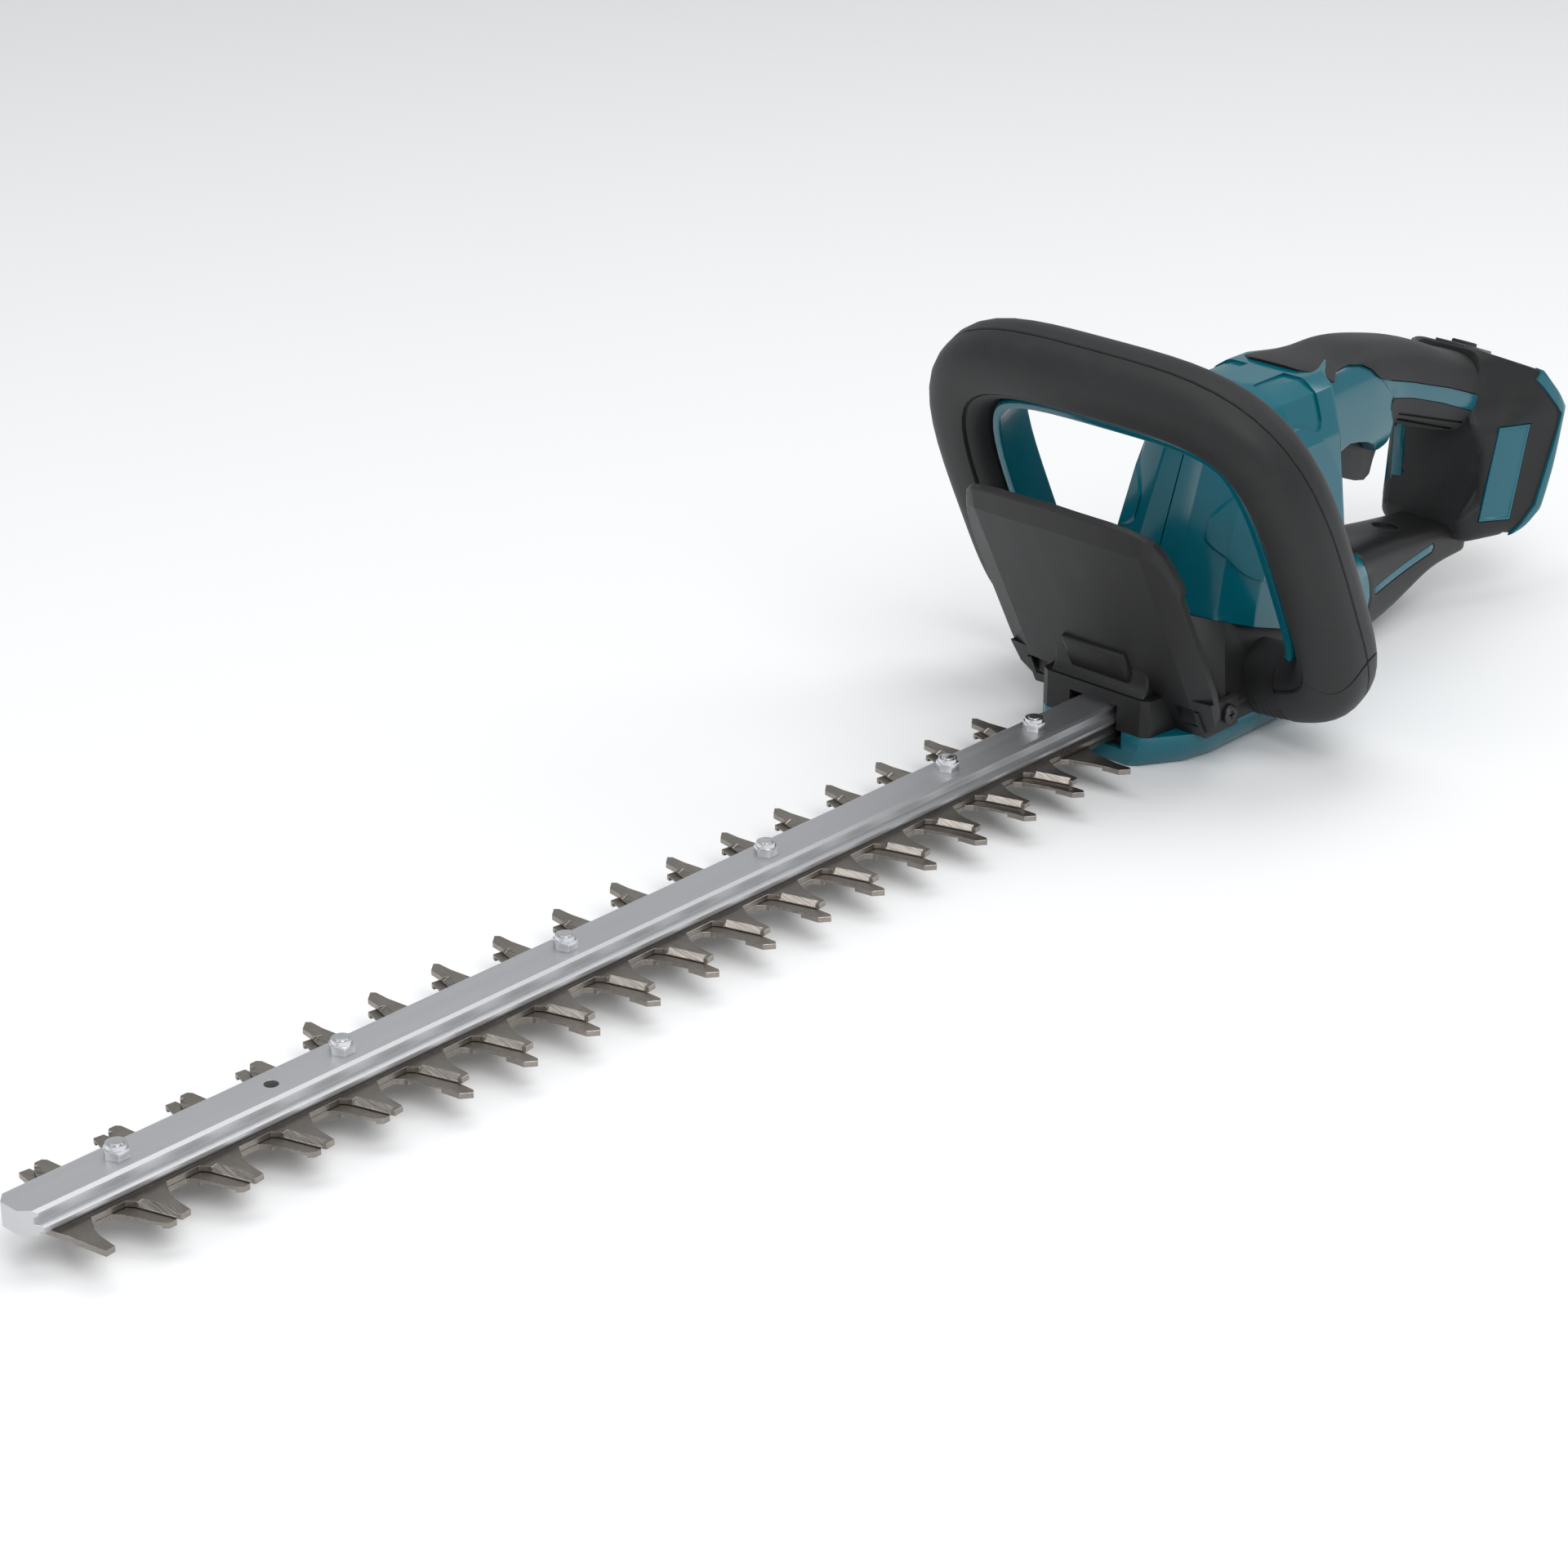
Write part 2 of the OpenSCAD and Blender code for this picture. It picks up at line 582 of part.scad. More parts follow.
// Cast case over the gears, with a tongue that clamps the bar
module gear_housing() {
    gear_r = gear_case_r - 3.2;
    pinion_r = gear_module * (pinion_teeth / 2 + 1) + 1.6;
    skirt_low = blade_top_z + 0.8;
    color("#9a9da0") difference() {
        union() {
            cyl_z(gear_case_r, skirt_low, housing_top, 0, 0, 64);
            cyl_z(pinion_r + 8, skirt_low, housing_top, centre_x, 0, 48);
            box([0, -12, bar_top], [case_front_x - 4, 12, tongue_top]);
            box([-case_rear_x + 12, -30, bar_top], [6, 30, block_top]);
            for (p = cover_screw_at)
                cyl_z(cover_screw_r + 2.6, bottom_cover_h + seat_gap, ear_top, p[0], p[1]);
        }
        box([17, -40, tongue_top], [case_front_x, 40, housing_top + 1]);
        cyl_z(gear_r, skirt_low - 1, bar_top, 0, 0, 64);
        cyl_z(pinion_r, skirt_low - 1, bar_top, centre_x, 0, 48);
        box([bar_rear_x - 5, -bar_rib_w / 2 - 1, skirt_low - 1], [case_front_x, bar_rib_w / 2 + 1, bar_top]);
        cyl_z(top_bearing_r, top_bearing_z, top_bearing_z + bearing_w, 0, 0, 48);
        cyl_z(crank_r + 1.5, bar_top - 1, housing_top + 1, 0, 0, 48);
        cyl_z(motor_bearing_r, top_bearing_z + 1, housing_top + 1, centre_x, 0, 48);
        cyl_z(motor_shaft_r + 1, bar_top - 1, housing_top + 1, centre_x, 0, 32);
        for (y = [-bar_screw_y, bar_screw_y])
            cyl_z(bar_screw_r, bar_top - 1, tongue_top + 1, bar_screw_x, y, 24);
        for (p = cover_screw_at) cyl_z(cover_screw_r, bottom_cover_h - 1, bar_top + 1, p[0], p[1], 24);
    }
}

module bar_screws() {
    color("#8b8f92") for (y = [-bar_screw_y, bar_screw_y]) {
        cyl_z(bar_screw_r, bar_low + 0.2, tongue_top - 0.4, bar_screw_x, y, 24);
        cyl_z(bar_screw_r + 1.6, bar_low + 0.2, bar_low + 2.4, bar_screw_x, y, 32);
    }
}

// ---- covers and guard ----------------------------------------------

// Case outline with its flanks drawn in by inset and its front by front
function case_plan(inset, front) = both_sides([
    [case_front_x - front, snout_y - 2 - 0.8 * inset],
    [case_front_x - 2 - 1.5 * front, snout_y + 1.5 - 0.85 * inset],
    [case_front_x - 20, case_half_w - 3 - inset], [case_front_x - 34, case_half_w - inset],
    [-case_rear_x + 14, case_half_w - inset], [-case_rear_x + inset, case_half_w - 10 - inset]]);

function cover_plan(grow) = both_sides([
    [guard_rear_x - 0.2 + grow, snout_y + 6 + grow], [guard_rear_x - 10 + grow, case_half_w + grow],
    [-case_rear_x + 14, case_half_w + grow], [-case_rear_x - grow, case_half_w - 10 + grow]]);

// Moulded tray that closes the gear case from below
module bottom_cover() {
    color("#0f6f83") difference() {
        hull() {
            linear_extrude(eps) polygon(case_plan(8, 1));
            translate([0, 0, 3]) linear_extrude(eps) polygon(case_plan(4.5, 0.5));
            translate([0, 0, bottom_cover_h - 4]) linear_extrude(4) polygon(case_plan(0, 0));
        }
        difference() {
            translate([0, 0, wall]) linear_extrude(bottom_cover_h) polygon(case_plan(8 + wall, 1 + wall));
            cyl_z(low_bearing_r + 3, 0, low_bearing_z + bearing_w - 1, 0, 0, 48);
            for (p = cover_screw_at) cyl_z(cover_screw_r + 2.4, 0, bottom_cover_h, p[0], p[1]);
        }
        cyl_z(low_bearing_r, low_bearing_z, bottom_cover_h + 1, 0, 0, 48);
        box([case_front_x - 16, -blade_root_y - 3.5, slot_floor_z],
            [case_front_x + 2, blade_root_y + 3.5, bottom_cover_h + 1]);
        for (p = cover_screw_at) {
            cyl_z(cover_screw_r + 0.3, -1, bottom_cover_h + 1, p[0], p[1]);
            cyl_z(cover_screw_r * 2 + 0.2, -1, 2.4, p[0], p[1]);
        }
    }
}

module cover_screws() {
    color("#3d4043") for (p = cover_screw_at) {
        cyl_z(cover_screw_r, 2.2, bar_top + 1, p[0], p[1], 24);
        cyl_z(cover_screw_r * 2, 0.4, 2.4, p[0], p[1], 32);
    }
}

// Felt wiper that keeps dust out under the blades
module felt_seal() {
    color("#5b5750") box([case_front_x - 13, -blade_root_y - 0.5, wall],
        [case_front_x - 11, blade_root_y + 0.5, lower_low - run_gap]);
}

// Cuts away what lies above the sloping joint with the motor housing
module above_joint(lift = 0) {
    translate([cover_plane_x, 0, upper_cover_h + lift]) rotate([0, -atan(cover_slope), 0])
        box([-300, -100, 0], [100, 100, 200]);
}

// Outer form of the upper cover: upright at its foot, then drawn in to its top
module cover_form(grow) {
    hull() {
        translate([0, 0, bottom_cover_h + seat_gap]) linear_extrude(8) polygon(cover_plan(grow));
        translate([0, 0, upper_cover_h]) linear_extrude(eps) polygon(cover_plan(grow - 10));
    }
}

module upper_cover() {
    low = bottom_cover_h + seat_gap;
    color("#26282a") difference() {
        cover_form(0);
        translate([0, 0, -wall]) cover_form(-wall);
        translate([0, 0, low - 10]) linear_extrude(16) polygon(cover_plan(-wall));
        above_joint();
        cyl_z(gear_case_r + 0.4, low - 1, tongue_top + 0.4, 0, 0, 64);
        box([0, -bar_rib_w / 2 - 1.8, low - 1], [case_front_x, bar_rib_w / 2 + 1.8, tongue_top + 0.4]);
        for (y = [-50, 20]) {
            cyl_y(boot_screw_r + 0.2, y, y + 30, boot_x, boot_z);
            cyl_y(guard_screw_r + 0.2, y, y + 30, guard_screw_x, guard_screw_z);
        }
    }
}

// Outline of the guard's plate, half width against height along the plate
function guard_half() = [
    [guard_top_y - 22, guard_len - 1.5], [guard_top_y - 12, guard_len - 3],
    [guard_top_y - 6, guard_len - 5.5], [guard_top_y - 2.5, guard_len - 9],
    [guard_top_y, guard_len - 16], [guard_wide_y, guard_len - 33],
    [guard_wide_y, 17], [guard_wide_y - 2, 1.5], [guard_wide_y - 10.5, -8], [snout_y, -8]];

// Plate along the guard's lean, standing on the case's front edge
module guard_plate() {
    half = guard_half();
    translate(guard_foot) rotate([0, guard_lean, 0]) intersection() {
        difference() {
            cyl_z(guard_bow_r, -20, guard_len + 10, -guard_bow_r, 0, 360);
            cyl_z(guard_bow_r - guard_t, -21, guard_len + 11, -guard_bow_r, 0, 360);
        }
        rotate([0, -90, 0]) translate([0, 0, -12])
            linear_extrude(24) polygon(both_sides([for (p = half) [p[1], p[0]]]));
    }
}

// Slab in the XZ plane between two half widths on both sides
module side_pair(outline, y0, y1) {
    for (y = [-y0, y1]) translate([0, y, 0]) rotate([90, 0, 0]) linear_extrude(y1 - y0) polygon(outline);
}

// Plate that shields the front hand, with the snout around the bar
module blade_guard() {
    low = bottom_cover_h + seat_gap;
    tab_y = case_half_w + seat_gap;
    color("#2b2d2e") difference() {
        union() {
            guard_plate();
            translate([0, 0, low]) linear_extrude(upper_snout_z - low) polygon(both_sides([
                [case_front_x, snout_y - 2], [case_front_x - 2, snout_y + 1.5],
                [guard_rear_x, snout_y + 4]]));
            side_pair([[guard_screw_x - 7, low], [30, low], [36.5, low + 13], [guard_screw_x - 7, low + 13]],
                tab_y, tab_y + guard_tab_t);
            side_pair([[guard_rear_x, low], [30, low], [32.5, low + 5], [guard_rear_x, low + 5]],
                snout_y, tab_y + guard_tab_t);
        }
        box([guard_rear_x - 1, -bar_rib_w / 2 - 1.8, low - 1],
            [case_front_x + 1, bar_rib_w / 2 + 1.8, bar_top + 1.6]);
        box([guard_rear_x - 10, -12.3, bar_top - 1], [case_front_x - 3.8, 12.3, tongue_top + 0.4]);
        cyl_z(gear_case_r + 0.4, low - 1, tongue_top + 0.4, 0, 0, 64);
        translate([0, 0, -1]) linear_extrude(low + 1) polygon(case_plan(-seat_gap, -seat_gap));
        for (side = [-1, 1]) {
            box([guard_rear_x + 8.5, side > 0 ? snout_y + 7 : -case_half_w, low + 3],
                [case_front_x + 5, side > 0 ? case_half_w : -snout_y - 7, low + 14]);
            cyl_y(guard_screw_r, side * case_half_w - 5, side * case_half_w + 5,
                guard_screw_x, guard_screw_z);
        }
    }
}

module guard_screws() {
    color("#17191a") for (side = [-1, 1]) {
        head = case_half_w + seat_gap + guard_tab_t;
        tip = case_half_w - 6;
        cyl_y(guard_screw_r, side > 0 ? tip : -head, side > 0 ? head : -tip, guard_screw_x, guard_screw_z);
        cyl_y(guard_screw_r * 2, side > 0 ? head : -head - 2, side > 0 ? head + 2 : -head,
            guard_screw_x, guard_screw_z);
    }
}

// ---- main housing and rear handle -----------------------------------

// Ring of the motor housing at height z: front edge, rear edge and half width
function motor_ring(z, xf, xr, w, cut = 0) =
    let (h = [[xf - cut, 0.3 * w], [xf - 9 - cut, 0.78 * w - cut / 2], [xf - 26 - cut / 2, w - cut],
        [xr + 14 + cut / 2, w - cut], [xr + cut, 0.62 * w - cut / 2]])
    concat([for (p = h) [p[0], -p[1], z]], [for (i = [4:-1:0]) [h[i][0], h[i][1], z]]);

// Motor housing as a stack of rings, drawn inwards by cut
module motor_body(cut = 0) {
    w = motor_half_w;
    top = housing_top_z;
    skin([motor_ring(34, 22, -96, w + 3, cut), motor_ring(58, 16, -93, w + 2, cut),
        motor_ring(74, 10, -88, w, cut), motor_ring(top - 23, -6, -84, w - 3, cut),
        motor_ring(top - 5 - cut / 2, -13, -86, w - 10, cut), motor_ring(top - cut, -38, -88, w - 17, cut)]);
}

// Upper arm: from the motor housing over the grip into the battery seat
module upper_arm(cut = 0) {
    w = grip_half_w - cut;
    h = grip_half_h - cut;
    body_along_x([
        [-214, 95, w, h - 2], [-190, 101, w, h - 1], [-165, 110, w, h], [-140, 117, w, h],
        [-116, 117.5, w + 2, h + 4], [-95, 115.5, w + 3, h + 6], [-72, 113, w + 5, h + 8],
        [-50, 112, w + 5, h + 8]]);
}

// Lower arm: from the motor housing to the foot of the battery seat
module lower_arm(cut = 0) {
    w = strut_half_w - cut;
    body_along_x([
        [-204, 30, w - 3, 8.5 - cut], [-178, 30.5, w - 2, 10.5 - cut], [-146, 28, w, 17.5 - cut],
        [-110, 28, w + 5, 22 - cut], [-84, 31, w + 13, 25 - cut], [-64, 34, w + 16, 24 - cut]]);
}

// Teal core of one side: motor shell and both arms, hollow inside
module housing_core(side) {
    difference() {
        union() {
            difference() {
                motor_body();
                below_joint();
                motor_body(wall);
            }
            difference() {
                union() {
                    upper_arm(soft_t);
                    lower_arm(soft_t);
                }
                motor_body(0.01);
                difference() {
                    union() {
                        upper_arm(soft_t + wall);
                        lower_arm(soft_t + wall);
                    }
                    for (p = housing_screw_at) cyl_y(4, -60, 60, p[0], p[1], 32);
                }
                below_joint();
            }
        }
        half_space(-side);
        seat_block(seat_gap);
        trigger_slot();
        case_clear();
        cyl_z(stator_r + 3.5, 20, shaft_top_z + 3, centre_x, 0, 64);
        housing_screw_bores();
        cyl_y(trigger_pin_r, -pin_half, pin_half, trigger_x, trigger_z);
    }
}

// Bores for the housing screws, with the heads let in on the right side
module housing_screw_bores() {
    for (p = housing_screw_at) {
        cyl_y(1.5, -p[2] - 1, p[2] - 2, p[0], p[1], 24);
        cyl_y(3.1, -60, -p[2], p[0], p[1], 24);
    }
}

module below_joint() {
    translate([cover_plane_x, 0, upper_cover_h + seat_gap]) rotate([0, -atan(cover_slope), 0])
        box([-case_rear_x - 18, -100, -200], [100, 100, 0]);
}

// Space kept for the gear case behind the joint
module case_clear() {
    box([-case_rear_x - 2.5, -case_half_w - 2, -1], [100, case_half_w + 2, 34]);
}

module left_housing() { color("#0f7f95") housing_core(1); }
module right_housing() { color("#0f7f95") housing_core(-1); }

module housing_screws() {
    color("#3d4043") for (p = housing_screw_at) {
        cyl_y(1.5, -p[2] - 1, p[2] - 2, p[0], p[1], 24);
        cyl_y(3, -p[2] - 2.2, -p[2], p[0], p[1], 24);
    }
}

// Soft layer over the upper arm, open over the trigger
module soft_grip(side) {
    difference() {
        upper_arm(0);
        upper_arm(soft_t - 0.1);
        half_space(-side);
        motor_body(-0.3);
        seat_block(seat_gap);
        trigger_slot();
        box([-128, -60, 40], [-40, 60, 106]);
        for (s = [-1, 1]) translate([0, s > 0 ? 60 : -10, 0]) rotate([90, 0, 0]) linear_extrude(50)
            polygon([[-117, 127], [-202, 97], [-194, 94], [-118, 120]]);
        housing_screw_bores();
    }
}
module left_soft_grip() { color("#232527") soft_grip(1); }
module right_soft_grip() { color("#232527") soft_grip(-1); }

module strut_pad(side) {
    difference() {
        lower_arm(0);
        lower_arm(soft_t - 0.1);
        half_space(-side);
        motor_body(-0.3);
        seat_block(seat_gap);
        case_clear();
        box([-92, -60, -20], [-40, 60, 90]);
        for (s = [-1, 1]) translate([0, s > 0 ? 60 : -10, 0]) rotate([90, 0, 0]) linear_extrude(50)
            polygon([[-128, 34], [-179, 29], [-179, 24], [-128, 24]]);
        housing_screw_bores();
    }
}
module left_strut_pad() { color("#232527") strut_pad(1); }
module right_strut_pad() { color("#232527") strut_pad(-1); }

// Outline of the battery seat seen from the side
function seat_side(cut) = [
    [-187 - cut, seat_low_z + 12], [-193 - cut / 2, seat_low_z + cut], [-219 + cut / 2, seat_low_z + cut],
    [-seat_rear_x + 12 + cut, seat_low_z + 11], [-seat_rear_x + cut, seat_high_z - 24],
    [-226 + cut / 2, seat_high_z - 4 - cut], [-205, seat_high_z + 5 - cut],
    [-191 - cut / 2, seat_high_z + 8 - cut], [-186 - cut, seat_high_z - 8], [-187 - cut, seat_high_z - 25],
    [-195 - cut, seat_high_z - 34], [-198 - cut, seat_high_z - 42], [-198 - cut, seat_low_z + 23],
    [-195 - cut, seat_low_z + 16]];

// Seat seen from above: flanks that spread from the handle to the full width
flank_turn = atan((seat_half_w - strut_half_w - 2.2) / 56);
function seat_plan(grow) = both_sides([
    [-180, strut_half_w + 2.2 + grow], [-236, seat_half_w + grow], [-seat_rear_x - 5, seat_half_w + grow]]);

module seat_block(grow = 0) {
    w = seat_half_w + grow;
    intersection() {
        translate([0, w, 0]) rotate([90, 0, 0]) linear_extrude(2 * w) polygon(seat_side(-grow));
        translate([0, 0, -1]) linear_extrude(200) polygon(seat_plan(grow));
    }
}

// Rear block that a slide-on battery hangs on
module battery_seat() {
    color("#26282a") difference() {
        seat_block();
        difference() {
            intersection() {
                seat_block(-wall);
                translate([0, seat_half_w, 0]) rotate([90, 0, 0])
                    linear_extrude(2 * seat_half_w) polygon(seat_side(wall));
            }
            battery_pocket(wall);
        }
        battery_pocket();
        badge_pocket();
        panel_frame() box([-12.1, -8.1, -6], [12.1, 8.1, 6]);
        intersection() {
            upper_arm(soft_t + wall);
            box([-202, -30, 60], [-180, 30, 140]);
        }
    }
    color("#26282a") for (side = [-1, 1]) battery_rail(side);
}

// Slot that the battery's head slides up into, open to the rear and below
module battery_pocket(grow = 0) {
    half = rail_gap / 2 + 4 + grow;
    in_seat_frame() {
        box([-12, -half, -34], [12 + grow, half, 46 + grow]);
        box([0, -22 - grow, -34], [18 + grow, 22 + grow, 46 + grow]);
    }
}
module in_seat_frame() {
    translate([-seat_rear_x + 14, 0, seat_low_z + 16]) rotate([0, -15, 0]) children();
}
module battery_rail(side) {
    y = side > 0 ? rail_gap / 2 : -rail_gap / 2 - 4.2;
    in_seat_frame() box([0, y, -8], [3, y + 4.2, 42]);
}

// Rim around the rear face
module battery_rim() {
    color("#0f7f95") difference() {
        intersection() {
            translate([0, seat_half_w + 1, 0]) rotate([90, 0, 0]) linear_extrude(2 * seat_half_w + 2)
                polygon([[-218, seat_low_z - 1.2], [-seat_rear_x + 10.8, seat_low_z + 10.6],
                [-seat_rear_x - 1.4, seat_high_z - 23.6], [-226.6, seat_high_z - 2.4],
                [-223, seat_high_z - 8], [-seat_rear_x + 5, seat_high_z - 26],
                [-seat_rear_x + 16, seat_low_z + 13.5], [-216.5, seat_low_z + 4]]);
            linear_extrude(200) polygon(seat_plan(1));
        }
        seat_block(seat_gap / 2);
        battery_pocket();
    }
}

module terminal_block() {
    color("#d8a13a") in_seat_frame() {
        box([12, -20, 6], [18, 20, 38]);
        for (y = [-14, -5, 5, 14]) box([3, y - 0.5, 10], [12.5, y + 0.5, 34]);
    }
}

module controller_board() {
    color("#31363a") box([-82.7, -20, 62], [-66, 20, 100]);
}

// Frame on one flank of the seat: x along it, y out of it
module on_flanks() {
    for (side = [0, 1]) mirror([0, side, 0])
        translate([-180, strut_half_w + 2.2, 0]) rotate([0, 0, -flank_turn]) children();
}
module badge_pocket() {
    on_flanks() translate([0, 1, 0]) rotate([90, 0, 0]) linear_extrude(1.6) polygon(badge_outline);
}
module badge_plates() {
    color("#0f7f95") on_flanks()
        translate([0, 0.6, 0]) rotate([90, 0, 0]) linear_extrude(1.2) polygon(badge_outline);
}

// ---- switches -------------------------------------------------------

module trigger_slot() {
    box([-141, -9.6, 70], [-100, 9.6, 112]);
}

// Finger trigger hung from a pin at its top
module trigger() {
    color("#1d1f20") difference() {
        union() {
            translate([0, 9, 0]) rotate([90, 0, 0]) linear_extrude(18) polygon([
                [-104, 104], [-101, 96], [-102.5, 89], [-107, 84], [-113, 80.5], [-120, 77.8], [-127, 76.2],
                [-131, 78], [-133, 84], [-136, 90], [-138.5, 96], [-128, 98.5], [-112, 107]]);
            cyl_y(4.5, -9, 9, trigger_x, trigger_z);
        }
        cyl_y(trigger_pin_r + run_gap, -10, 10, trigger_x, trigger_z);
    }
}

module trigger_pin() {
    color("#9a9ea1") cyl_y(trigger_pin_r, -pin_half, pin_half, trigger_x, trigger_z);
}

module trigger_switch() {
    color("#2c2f31") box([-140, -8, 113], [-112, 8, 122.8]);
}

module power_button() {
    color("#3b3e41") panel_frame() box([-5, -4, 0], [5, 4, 3.6]);
}
module panel_frame() {
    translate([button_x, 0, button_z]) rotate([0, button_tilt, 0]) children();
}
module button_panel() {
    color("#1a1c1d") panel_frame() difference() {
        box([-12, -8, -4], [12, 8, 2]);
        box([-5.2, -4.2, -2.4], [5.2, 4.2, 3]);
    }
}

// ---- front handle -----------------------------------------------------

// Angle along the loop, eased so that points bunch where the curve turns
function ease(u) = u * u * (3 - 2 * u);
function loop_phi(u) = let (q = floor(u), f = u - q) 90 * (q + ease(f));
// Outer curve of the loop in its own plane: [half width, height]
function loop_point(phi) = let (c = cos(phi), s = sin(phi)) [
    loop_half_w * sign(c) * pow(abs(c), loop_power),
    let (h = s > 0 ? loop_top_s - loop_wide_s : loop_wide_s + loop_drop)
        loop_wide_s + h * sign(s) * pow(abs(s), loop_power)];
function loop_normal(phi) = let (a = loop_point(phi - 0.8), b = loop_point(phi + 0.8), d = b - a)
    [d[1], -d[0]] / norm(d);
// Section points [depth, radial] carried along the loop from one angle to another
function loop_rings(section, phis) = [for (p = phis) let (o = loop_point(p), n = loop_normal(p))
    [for (q = section) [q[0], o[0] + n[0] * q[1], o[1] + n[1] * q[1]]]];
function loop_angles(from, to) = concat([from], [for (k = [0:4 * loop_n - 1])
    let (p = loop_phi(k / loop_n - 0.9999)) if (p > from + 0.5 && p < to - 0.5) p], [to]);

module in_loop_frame() {
    translate(loop_foot) rotate([0, loop_lean, 0]) children();
}

// Half of the grip's rounded section as a thin shell; side is +1 in front
function grip_section(side) =
    let (a = grip_depth / 2, b = grip_radial / 2, w = loop_wall, n = 8,
        o = [for (i = [0:n]) let (t = 90 - 180 * i / n) [a * pow(abs(cos(t)), 0.8) + run_gap,
            b * sign(sin(t)) * pow(abs(sin(t)), 0.8)]],
        inn = [for (i = [n:-1:0]) let (t = 90 - 180 * i / n) [(a - w) * pow(abs(cos(t)), 0.8) + run_gap,
            (b - w) * sign(sin(t)) * pow(abs(sin(t)), 0.8)]],
        s = [for (p = concat(o, inn)) [side * p[0], p[1] - b]], m = len(s))
    [for (i = [0:m - 1]) s[((side > 0 ? i : -i) + m + n / 2) % m]];

module loop_shell(side) {
    in_loop_frame() skin(loop_rings(grip_section(side), loop_angles(loop_end, 180 - loop_end)));
}

// Port in the hole's upper side where the lever's nib reaches its switch
module switch_port() {
    low = loop_top_s - grip_radial;
    in_loop_frame() cyl_z(6, low - 1, low + loop_wall + 1, -1.25, 0, 32);
}

module loop_front_shell() {
    color("#232527") difference() {
        loop_shell(1);
        lever_eyes(0.3);
        switch_port();
    }
}
module loop_rear_shell() {
    color("#26282a") difference() {
        loop_shell(-1);
        lever_eyes(0.3);
        switch_port();
    }
}

// Pins that hang the lever from the loop's legs
module lever_eyes(grow = 0) {
    in_loop_frame() for (side = [-1, 1])
        cyl_y(1.5 + grow, side > 0 ? lever_pivot_y - 4 : -lever_pivot_y - 7.5,
            side > 0 ? lever_pivot_y + 7.5 : 4 - lever_pivot_y, -4, lever_pivot_s, 24);
}
module lever_pins() {
    color("#9a9ea1") lever_eyes();
}

// U-shaped lever that lines the loop's hole
module switch_lever() {
    low = -grip_radial - 0.4 - lever_t;
    high = -grip_radial - 0.4;
    front = 4;
    rear = front - lever_depth;
    section = [[rear, high], [front, high], [front, low + 1.2], [front - 1.2, low], [rear + 1.2, low],
        [rear, low + 1.2]];
    nib_s = loop_top_s - grip_radial;
    color("#0f7f95") in_loop_frame() difference() {
        union() {
            skin(loop_rings(section, loop_angles(lever_end, 180 - lever_end)));
            box([0, -2, nib_s - 2], [3.5, 2, nib_s + loop_wall + 1]);
        }
        for (side = [-1, 1]) cyl_y(1.5 + run_gap, side * lever_pivot_y - 12, side * lever_pivot_y + 12,
            -4, lever_pivot_s, 24);
    }
}

module lever_switch() {
    color("#2c2f31") in_loop_frame() box([-7, -12, loop_top_s - grip_radial + 4.5], [6, 12, loop_top_s - 7]);
}

// Ribbed sleeves where the loop's legs meet the case
module loop_boots() {
    phis = [for (p = [-84:1.3:loop_end - 0.4]) p];
    rings = [for (i = [0:len(phis) - 1]) let (m = i % 4 < 2 ? 0 : 0.9)
        loop_rings([for (j = [section_n - 1:-1:0]) let (q = squircle(grip_depth / 2 - m, grip_radial / 2 - m,
            360 * (j + 0.5) / section_n)) [q[0], q[1] - grip_radial / 2]], [phis[i]])[0]];
    color("#1f2122") for (side = [0, 1]) mirror([0, side, 0]) difference() {
        in_loop_frame() skin(rings);
        box([-60, -10, -20], [60, case_half_w + seat_gap, blade_top_z + 8]);
        cover_form(seat_gap);
        cyl_y(boot_screw_r + 0.2, 0, 80, boot_x, boot_z, 32);
    }
}

module boot_screws() {
    color("#8b8f92") for (side = [-1, 1])
        cyl_y(boot_screw_r, side > 0 ? 33 : -58, side > 0 ? 58 : -33, boot_x, boot_z, 32);
}

guide_bar();
upper_blade();
lower_blade();
blade_bolts();
blade_washers();
blade_sleeves();
lock_nuts();
bar_screws();
gear_housing();
bottom_cover();
cover_screws();
felt_seal();
crank_shaft();
crank_gear();
crank_bearings();
upper_drive_link();
lower_drive_link();
pinion();
motor_rotor();
motor_stator();
motor_windings();
motor_bearings();
cooling_fan();
motor_bracket();
upper_cover();
blade_guard();
guard_screws();
left_housing();
right_housing();
housing_screws();
left_soft_grip();
right_soft_grip();
left_strut_pad();
right_strut_pad();
battery_seat();
battery_rim();
terminal_block();
controller_board();
badge_plates();
trigger();
trigger_pin();
trigger_switch();
power_button();
button_panel();
loop_front_shell();
loop_rear_shell();
loop_boots();
boot_screws();
switch_lever();
lever_pins();
lever_switch();
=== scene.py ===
import bpy
import bmesh
import json
import math
from mathutils import Matrix, Vector


